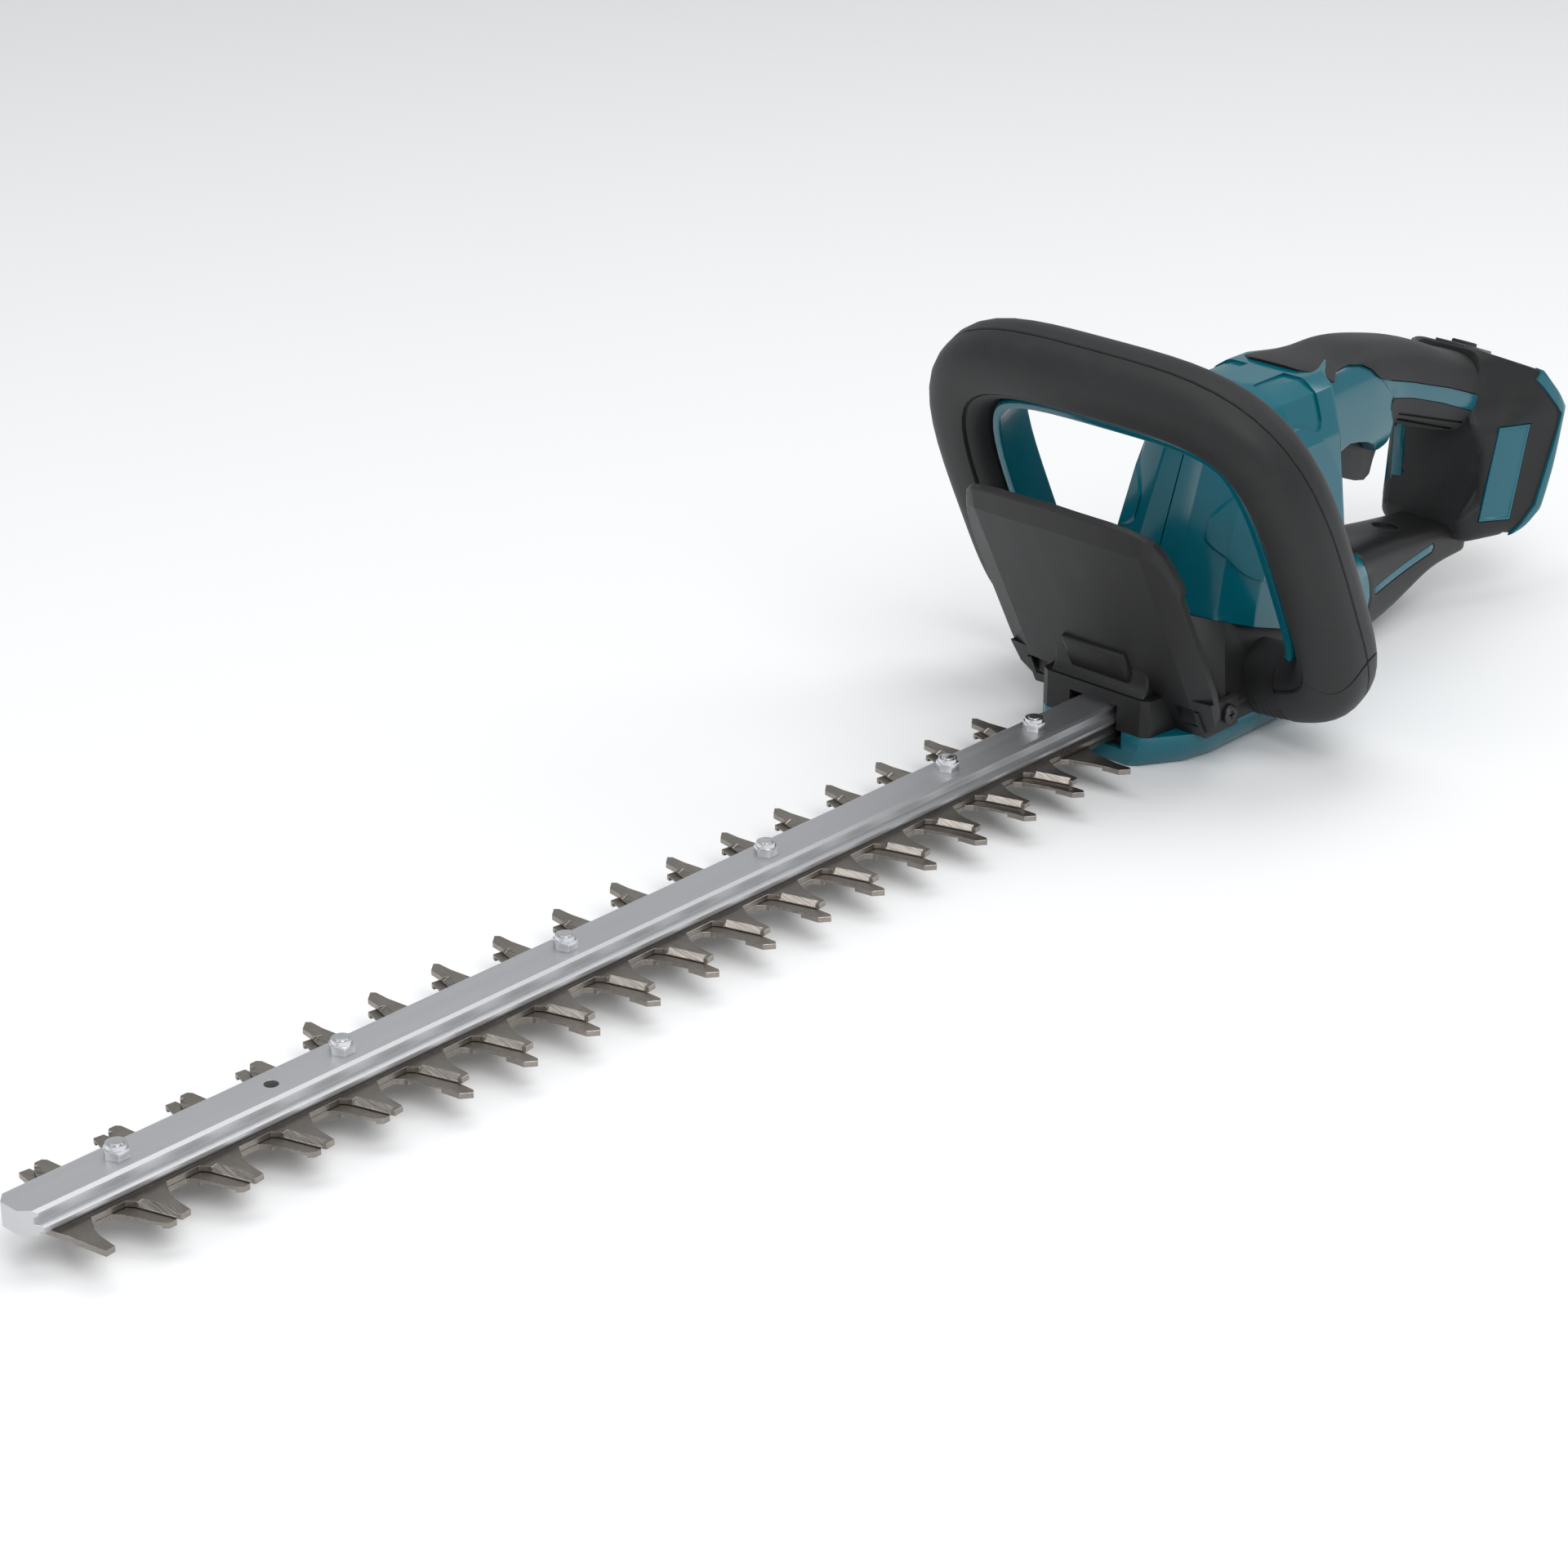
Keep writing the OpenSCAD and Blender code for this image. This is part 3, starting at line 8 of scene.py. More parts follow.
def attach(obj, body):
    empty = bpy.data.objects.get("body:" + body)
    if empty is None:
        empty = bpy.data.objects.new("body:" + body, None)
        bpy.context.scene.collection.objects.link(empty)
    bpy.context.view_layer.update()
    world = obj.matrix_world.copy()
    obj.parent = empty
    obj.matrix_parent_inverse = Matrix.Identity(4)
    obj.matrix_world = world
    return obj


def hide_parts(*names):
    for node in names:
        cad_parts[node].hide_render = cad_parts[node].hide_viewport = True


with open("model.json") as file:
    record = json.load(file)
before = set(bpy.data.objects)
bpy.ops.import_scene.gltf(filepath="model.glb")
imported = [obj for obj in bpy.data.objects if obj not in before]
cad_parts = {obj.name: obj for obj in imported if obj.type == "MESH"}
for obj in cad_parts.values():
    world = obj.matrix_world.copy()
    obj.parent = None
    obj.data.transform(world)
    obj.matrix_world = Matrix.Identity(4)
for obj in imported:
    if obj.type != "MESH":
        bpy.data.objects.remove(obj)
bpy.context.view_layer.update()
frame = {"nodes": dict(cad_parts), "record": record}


mm = 0.001

# materials


class Tap:  # one socket that can be used in sums
    def __init__(self, shade, socket):
        self.shade, self.socket = shade, socket

    def maths(self, operation, *terms):
        return self.shade.add("ShaderNodeMath", {"operation": operation}, dict(enumerate(terms)))

    def __add__(self, other):
        return self.maths("ADD", self, other)

    def __radd__(self, other):
        return self.maths("ADD", other, self)

    def __sub__(self, other):
        return self.maths("SUBTRACT", self, other)

    def __rsub__(self, other):
        return self.maths("SUBTRACT", other, self)

    def __mul__(self, other):
        return self.maths("MULTIPLY", self, other)

    def __rmul__(self, other):
        return self.maths("MULTIPLY", other, self)

    def above(self, edge, softness):  # 0 below the edge, 1 above it
        return self.shade.add("ShaderNodeMapRange", {"clamp": True, "interpolation_type": "SMOOTHSTEP"},
                              {"Value": self, "From Min": edge - softness, "From Max": edge + softness})

    def absolute(self):
        return self.maths("ABSOLUTE", self)


class Shade:  # a node material with one Principled shader
    def __init__(self, name, colour, roughness, metallic=0.0, **fixed):
        self.material = bpy.data.materials.new(name)
        self.material.use_nodes = True
        self.material.diffuse_color = (*colour, 1)
        self.tree = self.material.node_tree
        self.shader = self.tree.nodes["Principled BSDF"]
        self.set("Base Color", colour)
        self.set("Roughness", roughness)
        self.set("Metallic", metallic)
        for label, value in fixed.items():
            self.set(label.replace("_", " "), value)

    def set(self, label, value):
        self.feed(self.shader.inputs[label], value)

    def feed(self, socket, value):
        if isinstance(value, Tap):
            self.tree.links.new(value.socket, socket)
        elif isinstance(value, (tuple, list)):
            wanted = len(socket.default_value)
            socket.default_value = tuple(value) + (1.0,) * (wanted - len(value))
        else:
            socket.default_value = value

    def add(self, kind, settings=None, values=None, out=0):  # any node, its settings first
        node = self.tree.nodes.new(kind)
        for label, value in (settings or {}).items():
            setattr(node, label, value)
        for key, value in (values or {}).items():
            self.feed(node.inputs[key], value)
        return Tap(self, node.outputs[out])

    def place(self):  # object coordinates, in metres
        return self.add("ShaderNodeTexCoord", out="Object")

    def along(self, vector, axis):
        return self.add("ShaderNodeSeparateXYZ", None, {0: vector}, axis)

    def stretched(self, vector, scale, turn=(0, 0, 0)):
        return self.add("ShaderNodeMapping", {"vector_type": "POINT"},
                        {"Vector": vector, "Scale": scale, "Rotation": turn})

    def noise(self, vector, scale, detail=3.0, roughness=0.55):
        return self.add("ShaderNodeTexNoise", {"noise_dimensions": "3D"},
                        {"Vector": vector, "Scale": scale, "Detail": detail, "Roughness": roughness})

    def cells(self, vector, scale):
        return self.add("ShaderNodeTexVoronoi", {"feature": "F1"}, {"Vector": vector, "Scale": scale})

    def blend(self, factor, first, second):  # two colours by a factor
        node = self.tree.nodes.new("ShaderNodeMix")
        node.data_type = "RGBA"
        factorSocket, firstColour, secondColour, mixedColour = 0, 6, 7, 2
        self.feed(node.inputs[factorSocket], factor)
        self.feed(node.inputs[firstColour], first)
        self.feed(node.inputs[secondColour], second)
        return Tap(self, node.outputs[mixedColour])

    def bump(self, height, strength, distance):
        values = {"Strength": strength, "Distance": distance, "Height": height}
        self.set("Normal", self.add("ShaderNodeBump", None, values))


def softRubber(name, look):
    shade = Shade(name, look["colour"], look["roughness"], Sheen_Weight=look["sheen"], Sheen_Roughness=0.5,
                  Specular_IOR_Level=0.38)
    place = shade.place()
    broad = shade.noise(place, 14, 4)
    dust = shade.noise(place, 90, 3, 0.7).above(0.62, 0.12)
    grain = shade.cells(place, 2600)
    fine = shade.noise(place, 1500, 2)
    tone = shade.blend(broad.above(0.5, 0.25), look["colour"], look["light"])
    shade.set("Base Color", shade.blend(dust * 0.10, tone, look["dust"]))
    shade.set("Roughness", look["roughness"] + (broad - 0.5) * 0.12 + dust * 0.06)
    shade.bump(grain * 0.6 + fine * 0.5, 0.16, 0.0002)
    return shade.material


def mouldedPlastic(name, look):
    shade = Shade(name, look["colour"], look["roughness"], Specular_IOR_Level=0.36)
    place = shade.place()
    broad = shade.noise(place, 11, 3)
    spark = shade.noise(place, 1900, 3, 0.7)
    smear = shade.noise(shade.stretched(place, (30, 60, 12)), 1.0, 4).above(0.6, 0.2)
    shade.set("Base Color", shade.blend(broad.above(0.5, 0.3), look["colour"], look["light"]))
    shade.set("Roughness", look["roughness"] + (spark - 0.5) * 0.14 - smear * 0.07)
    shade.bump(spark, 0.10, 0.0002)
    return shade.material


def glossPlastic(name, look):
    shade = Shade(name, look["colour"], look["roughness"], Specular_IOR_Level=0.5, Coat_Weight=look["coat"],
                  Coat_Roughness=0.05)
    place = shade.place()
    flow = shade.noise(shade.stretched(place, (5, 9, 4)), 1.6, 3)
    peel = shade.noise(place, 260, 2)
    haze = shade.noise(place, 34, 4, 0.65).above(0.58, 0.16)
    shade.set("Base Color", shade.blend(flow.above(0.5, 0.3), look["colour"], look["light"]))
    shade.set("Roughness", look["roughness"] + haze * 0.05 + (peel - 0.5) * 0.05)
    shade.bump(peel, 0.03, 0.0003)
    return shade.material


def drawnAlloy(name, look):
    shade = Shade(name, look["colour"], look["roughness"], 1.0)
    place = shade.place()
    lines = shade.noise(shade.stretched(place, (6, 2600, 2600)), 1.0, 3, 0.6)
    broad = shade.noise(shade.stretched(place, (4, 25, 25)), 1.0, 3)
    scuff = shade.noise(shade.stretched(place, (60, 500, 300)), 1.0, 2, 0.7).above(0.72, 0.06)
    tone = shade.blend(broad.above(0.5, 0.3), look["colour"], look["light"])
    shade.set("Base Color", shade.blend(scuff * 0.35, tone, look["dark"]))
    shade.set("Roughness", look["roughness"] + (lines - 0.5) * 0.22 + scuff * 0.12)
    shade.bump(lines, 0.12, 0.00006)
    return shade.material


def groundSteel(name, look):
    shade = Shade(name, look["colour"], look["roughness"], 1.0)
    place = shade.place()
    normal = shade.add("ShaderNodeTexCoord", out="Normal")
    lean = shade.along(normal, "Z").absolute()
    ground = lean.above(0.35, 0.12) * (1 - lean.above(0.965, 0.02))  # ground bevels lean away from Z
    strokes = shade.noise(shade.stretched(place, (2600, 90, 60), (0, 0, 0.28)), 1.0, 3, 0.6)
    hatch = shade.noise(shade.stretched(place, (900, 240, 900)), 1.0, 2, 0.6)
    stain = shade.noise(place, 55, 4, 0.65)
    tone = shade.blend(stain.above(0.52, 0.16), look["colour"], look["stain"])
    tone = shade.blend(hatch.above(0.6, 0.2) * 0.5, tone, look["dark"])
    bright = shade.blend(strokes.above(0.5, 0.14), look["dark"], look["edge"])
    shade.set("Base Color", shade.blend(ground, tone, bright))
    shade.set("Roughness", look["roughness"] + (hatch - 0.5) * 0.2 + (strokes - 0.5) * 0.16 - ground * 0.08)
    shade.bump(strokes * ground * 1.5 + hatch * 0.7, 0.2, 0.00008)
    return shade.material


def turnedMetal(name, look):
    shade = Shade(name, look["colour"], look["roughness"], look.get("metallic", 1.0))
    place = shade.place()
    spot = shade.noise(place, 420, 3, 0.6)
    blotch = shade.noise(place, 70, 3)
    shade.set("Base Color", shade.blend(blotch.above(0.5, 0.2), look["colour"], look["light"]))
    shade.set("Roughness", look["roughness"] + (spot - 0.5) * 0.2 + (blotch - 0.5) * 0.1)
    shade.bump(spot, 0.1, 0.0001)
    return shade.material


def fleecyFelt(name, look):
    shade = Shade(name, look["colour"], 0.95, Sheen_Weight=0.4)
    fibre = shade.noise(shade.stretched(shade.place(), (900, 2500, 1500)), 1.0, 4, 0.7)
    shade.set("Base Color", shade.blend(fibre, look["colour"], look["light"]))
    shade.bump(fibre, 0.6, 0.0004)
    return shade.material


looks = {
    "softBlack": (softRubber, {"colour": (0.0085, 0.0088, 0.0095), "light": (0.013, 0.0134, 0.0142),
                               "dust": (0.06, 0.06, 0.06), "roughness": 0.56, "sheen": 0.05}),
    "bootRubber": (softRubber, {"colour": (0.0075, 0.0077, 0.0085), "light": (0.011, 0.0113, 0.012),
                                "dust": (0.05, 0.05, 0.05), "roughness": 0.6, "sheen": 0.05}),
    "hardBlack": (mouldedPlastic, {"colour": (0.0105, 0.0107, 0.0112), "light": (0.0145, 0.0147, 0.0155),
                                   "roughness": 0.44}),
    # near-black plastic used as painted shade in seams, slots and behind the guard windows
    "gapPaintedShade": (mouldedPlastic, {"colour": (0.004, 0.004, 0.005), "light": (0.006, 0.006, 0.007),
                                 "roughness": 0.7}),
    "glossBlack": (glossPlastic, {"colour": (0.012, 0.012, 0.014), "light": (0.018, 0.018, 0.02),
                                  "roughness": 0.2, "coat": 0.2}),
    "teal": (glossPlastic, {"colour": (0.0005, 0.098, 0.135), "light": (0.001, 0.122, 0.165),
                            "roughness": 0.14, "coat": 0.05}),
    "alloy": (drawnAlloy, {"colour": (0.55, 0.555, 0.57), "light": (0.61, 0.615, 0.63),
                           "dark": (0.36, 0.365, 0.38), "roughness": 0.46}),
    "blade": (groundSteel, {"colour": (0.33, 0.30, 0.27), "stain": (0.27, 0.245, 0.22),
                            "dark": (0.20, 0.18, 0.165), "edge": (0.38, 0.35, 0.32), "roughness": 0.36}),
    "zinc": (turnedMetal, {"colour": (0.66, 0.67, 0.69), "light": (0.78, 0.78, 0.79), "roughness": 0.24}),
    "machined": (turnedMetal, {"colour": (0.36, 0.36, 0.37), "light": (0.46, 0.46, 0.47), "roughness": 0.38}),
    "bearing": (turnedMetal, {"colour": (0.7, 0.71, 0.72), "light": (0.8, 0.8, 0.81), "roughness": 0.16}),
    "castAlloy": (turnedMetal, {"colour": (0.42, 0.43, 0.44), "light": (0.5, 0.5, 0.51), "roughness": 0.55}),
    "blackSteel": (turnedMetal, {"colour": (0.05, 0.05, 0.053), "light": (0.085, 0.085, 0.09),
                                 "roughness": 0.36, "metallic": 0.85}),
    "copper": (turnedMetal, {"colour": (0.62, 0.27, 0.12), "light": (0.72, 0.36, 0.18), "roughness": 0.3}),
    "brass": (turnedMetal, {"colour": (0.78, 0.58, 0.25), "light": (0.85, 0.68, 0.35), "roughness": 0.25}),
    "board": (mouldedPlastic, {"colour": (0.012, 0.05, 0.03), "light": (0.02, 0.07, 0.04), "roughness": 0.4}),
    "felt": (fleecyFelt, {"colour": (0.12, 0.11, 0.095), "light": (0.2, 0.185, 0.16)}),
}
finishes = {name: make(name, look) for name, (make, look) in looks.items()}
slotFinish = {
    "bar_alloy": "alloy", "blade_steel": "blade", "zinc_steel": "zinc", "machine_steel": "machined",
    "bearing_steel": "bearing", "cast_case": "castAlloy", "dark_steel": "blackSteel", "teal_shell": "teal",
    "hard_black": "hardBlack", "gloss_black": "glossBlack", "soft_black": "softBlack", "boot_rubber": "bootRubber",
    "felt": "felt", "copper_coil": "copper", "contact_brass": "brass", "board": "board",
}
nodeSlot = {part["node"]: part["material_slot"] for part in frame["record"]["subparts"]}


def paint(obj, finish):
    obj.data.materials.clear()
    obj.data.materials.append(finishes[finish])


for nodeName, nodeObject in frame["nodes"].items():
    paint(nodeObject, slotFinish[nodeSlot[nodeName]])
print("materials ready", len(finishes))

# modelling helpers
weld = {"own": 0.01, "node": 0.02, "flat": 1.0}  # merge distances in mm, and degrees that count as flat


def letGo():
    if bpy.context.object and bpy.context.object.mode != "OBJECT":
        bpy.ops.object.mode_set(mode="OBJECT")
    bpy.ops.object.select_all(action="DESELECT")


def hold(obj):
    letGo()
    obj.select_set(True)
    bpy.context.view_layer.objects.active = obj


def settle(obj):  # places the object's position in its mesh
    hold(obj)
    bpy.ops.object.transform_apply(location=True, rotation=True, scale=True)


def applyAll(obj):
    hold(obj)
    for modifier in list(obj.modifiers):
        bpy.ops.object.modifier_apply(modifier=modifier.name)


def smooth(obj, angle=32):
    hold(obj)
    bpy.ops.object.shade_smooth_by_angle(angle=math.radians(angle))


def softenEdges(obj, width, segments=2, angle=30):
    modifier = obj.modifiers.new("edges", "BEVEL")
    modifier.width, modifier.segments = width * mm, segments
    modifier.limit_method, modifier.angle_limit = "ANGLE", math.radians(angle)
    modifier.use_clamp_overlap = True
    applyAll(obj)


def carve(obj, tool, way="DIFFERENCE"):
    modifier = obj.modifiers.new("carve", "BOOLEAN")
    modifier.operation, modifier.object, modifier.solver = way, tool, "EXACT"
    applyAll(obj)
    bpy.data.objects.remove(tool, do_unlink=True)
    return obj


def outward(obj):
    hold(obj)
    bpy.ops.object.mode_set(mode="EDIT")
    bpy.ops.mesh.select_all(action="SELECT")
    bpy.ops.mesh.remove_doubles(threshold=weld["own"] * mm)
    bpy.ops.mesh.normals_make_consistent(inside=False)
    bpy.ops.object.mode_set(mode="OBJECT")


def loft(name, rings):  # a filled ring extruded from station to station, places in mm
    letGo()
    bpy.ops.mesh.primitive_circle_add(vertices=len(rings[0]), radius=0.01, fill_type="NGON")
    obj = bpy.context.object
    obj.name = obj.data.name = name
    bpy.ops.object.mode_set(mode="EDIT")
    mesh = bmesh.from_edit_mesh(obj.data)
    tag = mesh.verts.layers.int.new("turn")
    mesh.verts.ensure_lookup_table()
    for i, vert in enumerate(mesh.verts):
        vert[tag] = i
        vert.co = Vector(rings[0][i]) * mm
    bmesh.update_edit_mesh(obj.data)
    bpy.ops.mesh.select_all(action="SELECT")
    for ring in rings[1:]:
        bpy.ops.mesh.extrude_region_move()
        mesh = bmesh.from_edit_mesh(obj.data)
        tag = mesh.verts.layers.int["turn"]
        for vert in mesh.verts:
            if vert.select:
                vert.co = Vector(ring[vert[tag]]) * mm
        bmesh.update_edit_mesh(obj.data)
    bpy.ops.mesh.select_all(action="SELECT")
    bpy.ops.mesh.normals_make_consistent(inside=False)
    bpy.ops.object.mode_set(mode="OBJECT")
    obj.data.attributes.remove(obj.data.attributes["turn"])
    settle(obj)
    return obj


def block(name, low, high):  # a box between two corners in mm, for cutting and small parts
    letGo()
    middle = [(a + b) / 2 * mm for a, b in zip(low, high)]
    bpy.ops.mesh.primitive_cube_add(size=1, location=middle)
    obj = bpy.context.object
    obj.name = obj.data.name = name
    obj.scale = [(b - a) * mm for a, b in zip(low, high)]
    settle(obj)
    return obj


def rod(name, radius, centre, depth, sides=48):  # an upright rod
    letGo()
    bpy.ops.mesh.primitive_cylinder_add(vertices=sides, radius=radius * mm, depth=depth * mm,
                                        location=[v * mm for v in centre])
    obj = bpy.context.object
    obj.name = obj.data.name = name
    settle(obj)
    return obj


def prism(name, outline, low, high, plane="XZ"):  # flat outline pushed from low to high
    at = {"XZ": lambda p, t: (p[0], t, p[1]), "XY": lambda p, t: (p[0], p[1], t)}[plane]
    return loft(name, [[at(p, low) for p in outline], [at(p, high) for p in outline]])


def join(name, parts):
    letGo()
    for part in parts:
        part.select_set(True)
    bpy.context.view_layer.objects.active = parts[0]
    if len(parts) > 1:
        bpy.ops.object.join()
    obj = bpy.context.object
    obj.name = obj.data.name = name
    return obj


def mirrored(obj, name):  # the same piece on the other side of the tool
    copy = obj.copy()
    copy.data = obj.data.copy()
    copy.name = copy.data.name = name
    bpy.context.collection.objects.link(copy)
    copy.scale = (1, -1, 1)
    settle(copy)
    outward(copy)
    return copy


def finished(obj, body, slot, finish, *nodes):
    paint(obj, finish)
    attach(obj, body)
    if nodes:
        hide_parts(*nodes)
    return obj


def crispCopy(name, node, width, segments=2, body="base", keepSmooth=32):  # a CAD node with soft edges
    obj = bpy.data.objects.new(name, frame["nodes"][node].data.copy())
    bpy.context.collection.objects.link(obj)
    hold(obj)
    bpy.ops.object.mode_set(mode="EDIT")
    bpy.ops.mesh.select_all(action="SELECT")
    bpy.ops.mesh.remove_doubles(threshold=weld["node"] * mm)
    bpy.ops.mesh.dissolve_limited(angle_limit=math.radians(weld["flat"]))
    bpy.ops.object.mode_set(mode="OBJECT")
    if width:
        softenEdges(obj, width, segments)
    smooth(obj, keepSmooth)
    return finished(obj, body, nodeSlot[node], slotFinish[nodeSlot[node]], node)


def power(value, exponent):
    return math.copysign(abs(value) ** exponent, value)


def ovalPoints(halfWide, halfHigh, count, exponent=0.62):
    turns = [2 * math.pi * (i + 0.5) / count for i in range(count)]
    return [(halfWide * power(math.cos(t), exponent), halfHigh * power(math.sin(t), exponent)) for t in turns]


def eased(stations, steps):  # smooth in-between stations through the given ones
    out = []
    for i in range(len(stations) - 1):
        before, here = stations[max(i - 1, 0)], stations[i]
        there, after = stations[i + 1], stations[min(i + 2, len(stations) - 1)]
        for k in range(steps):
            t = k / steps
            corners = zip(before, here, there, after)
            out.append([0.5 * (2 * b + (c - a) * t + (2 * a - 5 * b + 4 * c - d) * t * t
                               + (3 * b - a - 3 * c + d) * t ** 3) for a, b, c, d in corners])
    out.append(list(stations[-1]))
    return out


def rounded(outline, rounds=2, share=0.25):  # corners cut again and again until they are round
    for _ in range(rounds):
        fresh = []
        for i, here in enumerate(outline):
            there = outline[(i + 1) % len(outline)]
            fresh.append([a + (b - a) * share for a, b in zip(here, there)])
            fresh.append([b + (a - b) * share for a, b in zip(here, there)])
        outline = fresh
    return outline


def shrunk(outline, depth):  # the outline moved inwards by depth
    area = sum(a[0] * b[1] - b[0] * a[1] for a, b in zip(outline, outline[1:] + outline[:1]))
    side = 1 if area > 0 else -1
    out = []
    for i, here in enumerate(outline):
        back = Vector(here) - Vector(outline[i - 1])
        ahead = Vector(outline[(i + 1) % len(outline)]) - Vector(here)
        away = (back.normalized() + ahead.normalized()).normalized()
        reach = depth / max(0.5, away.dot(ahead.normalized()))
        out.append((here[0] - away.y * side * reach, here[1] + away.x * side * reach))
    return out


def armRing(station, grow, exponent, count=44):
    x, middle, wide, high = station
    return [(x, y, middle + z) for y, z in ovalPoints(wide + grow, high + grow, count, exponent)]


def armSolid(name, arm, grow=0.0):
    rings = [armRing(s, grow, arm["exponent"]) for s in eased(arm["stations"], arm["steps"])]
    return loft(name, rings)


def region(name, outline, low=-60, high=60):
    return prism(name, outline, low, high, "XZ")


# cutting deck: bar, blades and their fixings
crispCopy("guideBar", "guide_bar", 0.3, 1, keepSmooth=12)
crispCopy("upperCutter", "upper_blade", 0.12, 1, body="upper_cutter", keepSmooth=12)
crispCopy("lowerCutter", "lower_blade", 0.12, 1, body="lower_cutter", keepSmooth=12)
for pieceName, node, width in (("bladeBolts", "blade_bolts", 0.25), ("bladeWashers", "blade_washers", 0.15),
                               ("lockNuts", "lock_nuts", 0.35), ("barScrews", "bar_screws", 0.3)):
    crispCopy(pieceName, node, width, 2)
print("cutting deck ready")

# gear case
crispCopy("bottomCover", "bottom_cover", 0.9, 3)
upperCover = crispCopy("upperCover", "upper_cover", 0.8, 2)
ledge = {"stations": (-60, -13, 60), "top": (58, 0.33, 14), "low": (50, 0.1), "step": 1.2,
         "inner": 37.4, "lip": 0.4, "outer": 43.4, "clear": (70, 30)}  # sloping shoulder of the cover
for side in (-1, 1):
    cuts = []
    for x in ledge["stations"]:
        top = ledge["top"][0] + ledge["top"][1] * (x - ledge["top"][2])
        low = min(ledge["low"][0] + ledge["low"][1] * x, top - ledge["step"])
        away, above = ledge["clear"]
        ring = ((ledge["inner"], top + ledge["lip"]), (ledge["outer"], low), (away, low), (away, top + above),
                (ledge["inner"], top + above))
        cuts.append([(x, side * y, z) for y, z in ring])
    carve(upperCover, loft("shoulder", cuts))
smooth(upperCover, 25)
crispCopy("coverScrews", "cover_screws", 0.3)


cross = {"slit": 0.45, "depth": 1.3, "guard": (15.5, 46.5, 21.5), "guardReach": 1.9,
         "boot": (-15.97, 58, 27.04), "bootReach": 1.6}


def crossRecess(obj, head, reach):  # a screwdriver's cross in both sides' heads
    for side in (-1, 1):
        centre = (head[0], side * head[1], head[2])
        for longWay in (0, 2):
            half = [cross["slit"]] * 3
            half[longWay], half[1] = reach, cross["depth"]
            carve(obj, block("slit", [c - h for c, h in zip(centre, half)], [c + h for c, h in zip(centre, half)]))
    smooth(obj)


crossRecess(crispCopy("guardScrews", "guard_screws", 0.5, 3), cross["guard"], cross["guardReach"])
crossRecess(crispCopy("bootScrews", "boot_screws", 0.5, 3), cross["boot"], cross["bootReach"])
print("gear case ready")

# guard
guard = {"foot": (34, 21), "lean": 28, "thick": 3.3, "bow": 1200, "border": 11, "drop": 2.2,
         "window": [(33, -3), (32, 8.5), (42.5, 8.5), (40.5, -3)],
         "top": [(0, 108.6), (28, 107.2), (38, 105.7), (44, 103.2), (47.5, 99.7), (50, 92.7), (51.6, 83), (52.5, 75.7)],
         "low": [(0, 13), (26, 13), (29, 4), (32, -5.5), (44, -5.5), (46, -5), (50.5, 2), (51.6, 9), (52.5, 18)]}


def between(table, value):
    for (a, va), (b, vb) in zip(table, table[1:]):
        if value <= b:
            return va + (vb - va) * (value - a) / (b - a)
    return table[-1][1]


def guardPoint(out, up, y):
    lean = math.radians(guard["lean"])
    return (guard["foot"][0] + out * math.cos(lean) + up * math.sin(lean), y,
            guard["foot"][1] - out * math.sin(lean) + up * math.cos(lean))


def guardSection(y):
    wide = abs(y)
    face = 0.15 - wide * wide / guard["bow"] - guard["drop"] * max(0, wide - 41.5) / 11
    low, high = between(guard["low"], wide), between(guard["top"], wide)
    crease = high - guard["border"] + max(0, wide - 36) * 0.4
    drop, thick = guard["drop"], guard["thick"]
    local = [(face, low), (face, (low + crease) / 2), (face, crease), (face - drop * 0.92, high - 0.9),
             (face - drop - 0.5, high), (face - drop - thick + 0.4, high), (face - drop - thick, high - 0.8),
             (face - thick, crease), (face - thick, low)]
    return [guardPoint(out, up, y) for out, up in local]


guardStations = [0, 12, 22, 26, 29, 32, 37, 40, 41.5, 43, 45, 47, 48.5, 50, 51, 52, 52.5]
guardPlate = loft("guardPlate", [guardSection(y) for y in [-y for y in guardStations[:0:-1]] + guardStations])
softenEdges(guardPlate, 0.5, 2, 40)
for side in (-1, 1):
    window = loft("window", [[guardPoint(out, up, side * y) for y, up in guard["window"]] for out in (-9, 9)])
    carve(guardPlate, window)
smooth(guardPlate, 9)
finished(guardPlate, "base", "hard_black", "hardBlack")
# dark sheets behind the guard windows: painted shade where the holes show only shadow
shades = [loft("shade", [[guardPoint(out, up, side * y) for y, up in shrunk(guard["window"], -0.6)]
                         for out in (-6.2, -4.4)]) for side in (-1, 1)]
finished(join("guardShades", shades), "base", "hard_black", "gapPaintedShade")

snout = crispCopy("guardSnout", "blade_guard", 0)
carve(snout, region("above", [(0, 34), (120, 34), (120, 140), (0, 140)], -70, 70))
softenEdges(snout, 0.9, 3, 28)
smooth(snout)
finished(snout, "base", "hard_black", "hardBlack", "blade_guard")

webOutline = [(47.2, 30.2), (44.9, 32.4), (43.9, 35.4), (44.2, 39.5), (46.0, 45.0), (42, 42), (36, 30)]
web = region("guardWeb", webOutline, -24, 24)
softenEdges(web, 1.6, 3, 50)
boss = loft("guardBoss", [[guardPoint(out, up, y) for up, y in corners] for out, corners in (
    (-2, [(11, -16), (11, 16), (33, 16), (33, -16)]), (1.6, [(11, -16), (11, 16), (33, 16), (33, -16)]),
    (2.4, [(12, -14.5), (12, 14.5), (31, 14.5), (31, -14.5)]))])
softenEdges(boss, 0.7, 2, 20)
web = join("guardWeb", [web, boss])
smooth(web)
finished(web, "base", "hard_black", "hardBlack")
print("guard ready")

# front handle
loop = {"foot": (-20.9, 17.2), "lean": 26.6, "wide": 99.0, "middle": 66.5, "up": 112.5, "down": 71.7, "power": 0.57,
        "depth": 15.0, "radial": 15.5, "cover": (-14.0, 194.0), "elbow": (-64.0, -14.0), "boot": (-84.0, -64.4),
        "lever": (-38.0, 218.0), "swing": 5.5, "fade": 16, "seam": 0.6, "lip": -22.5}


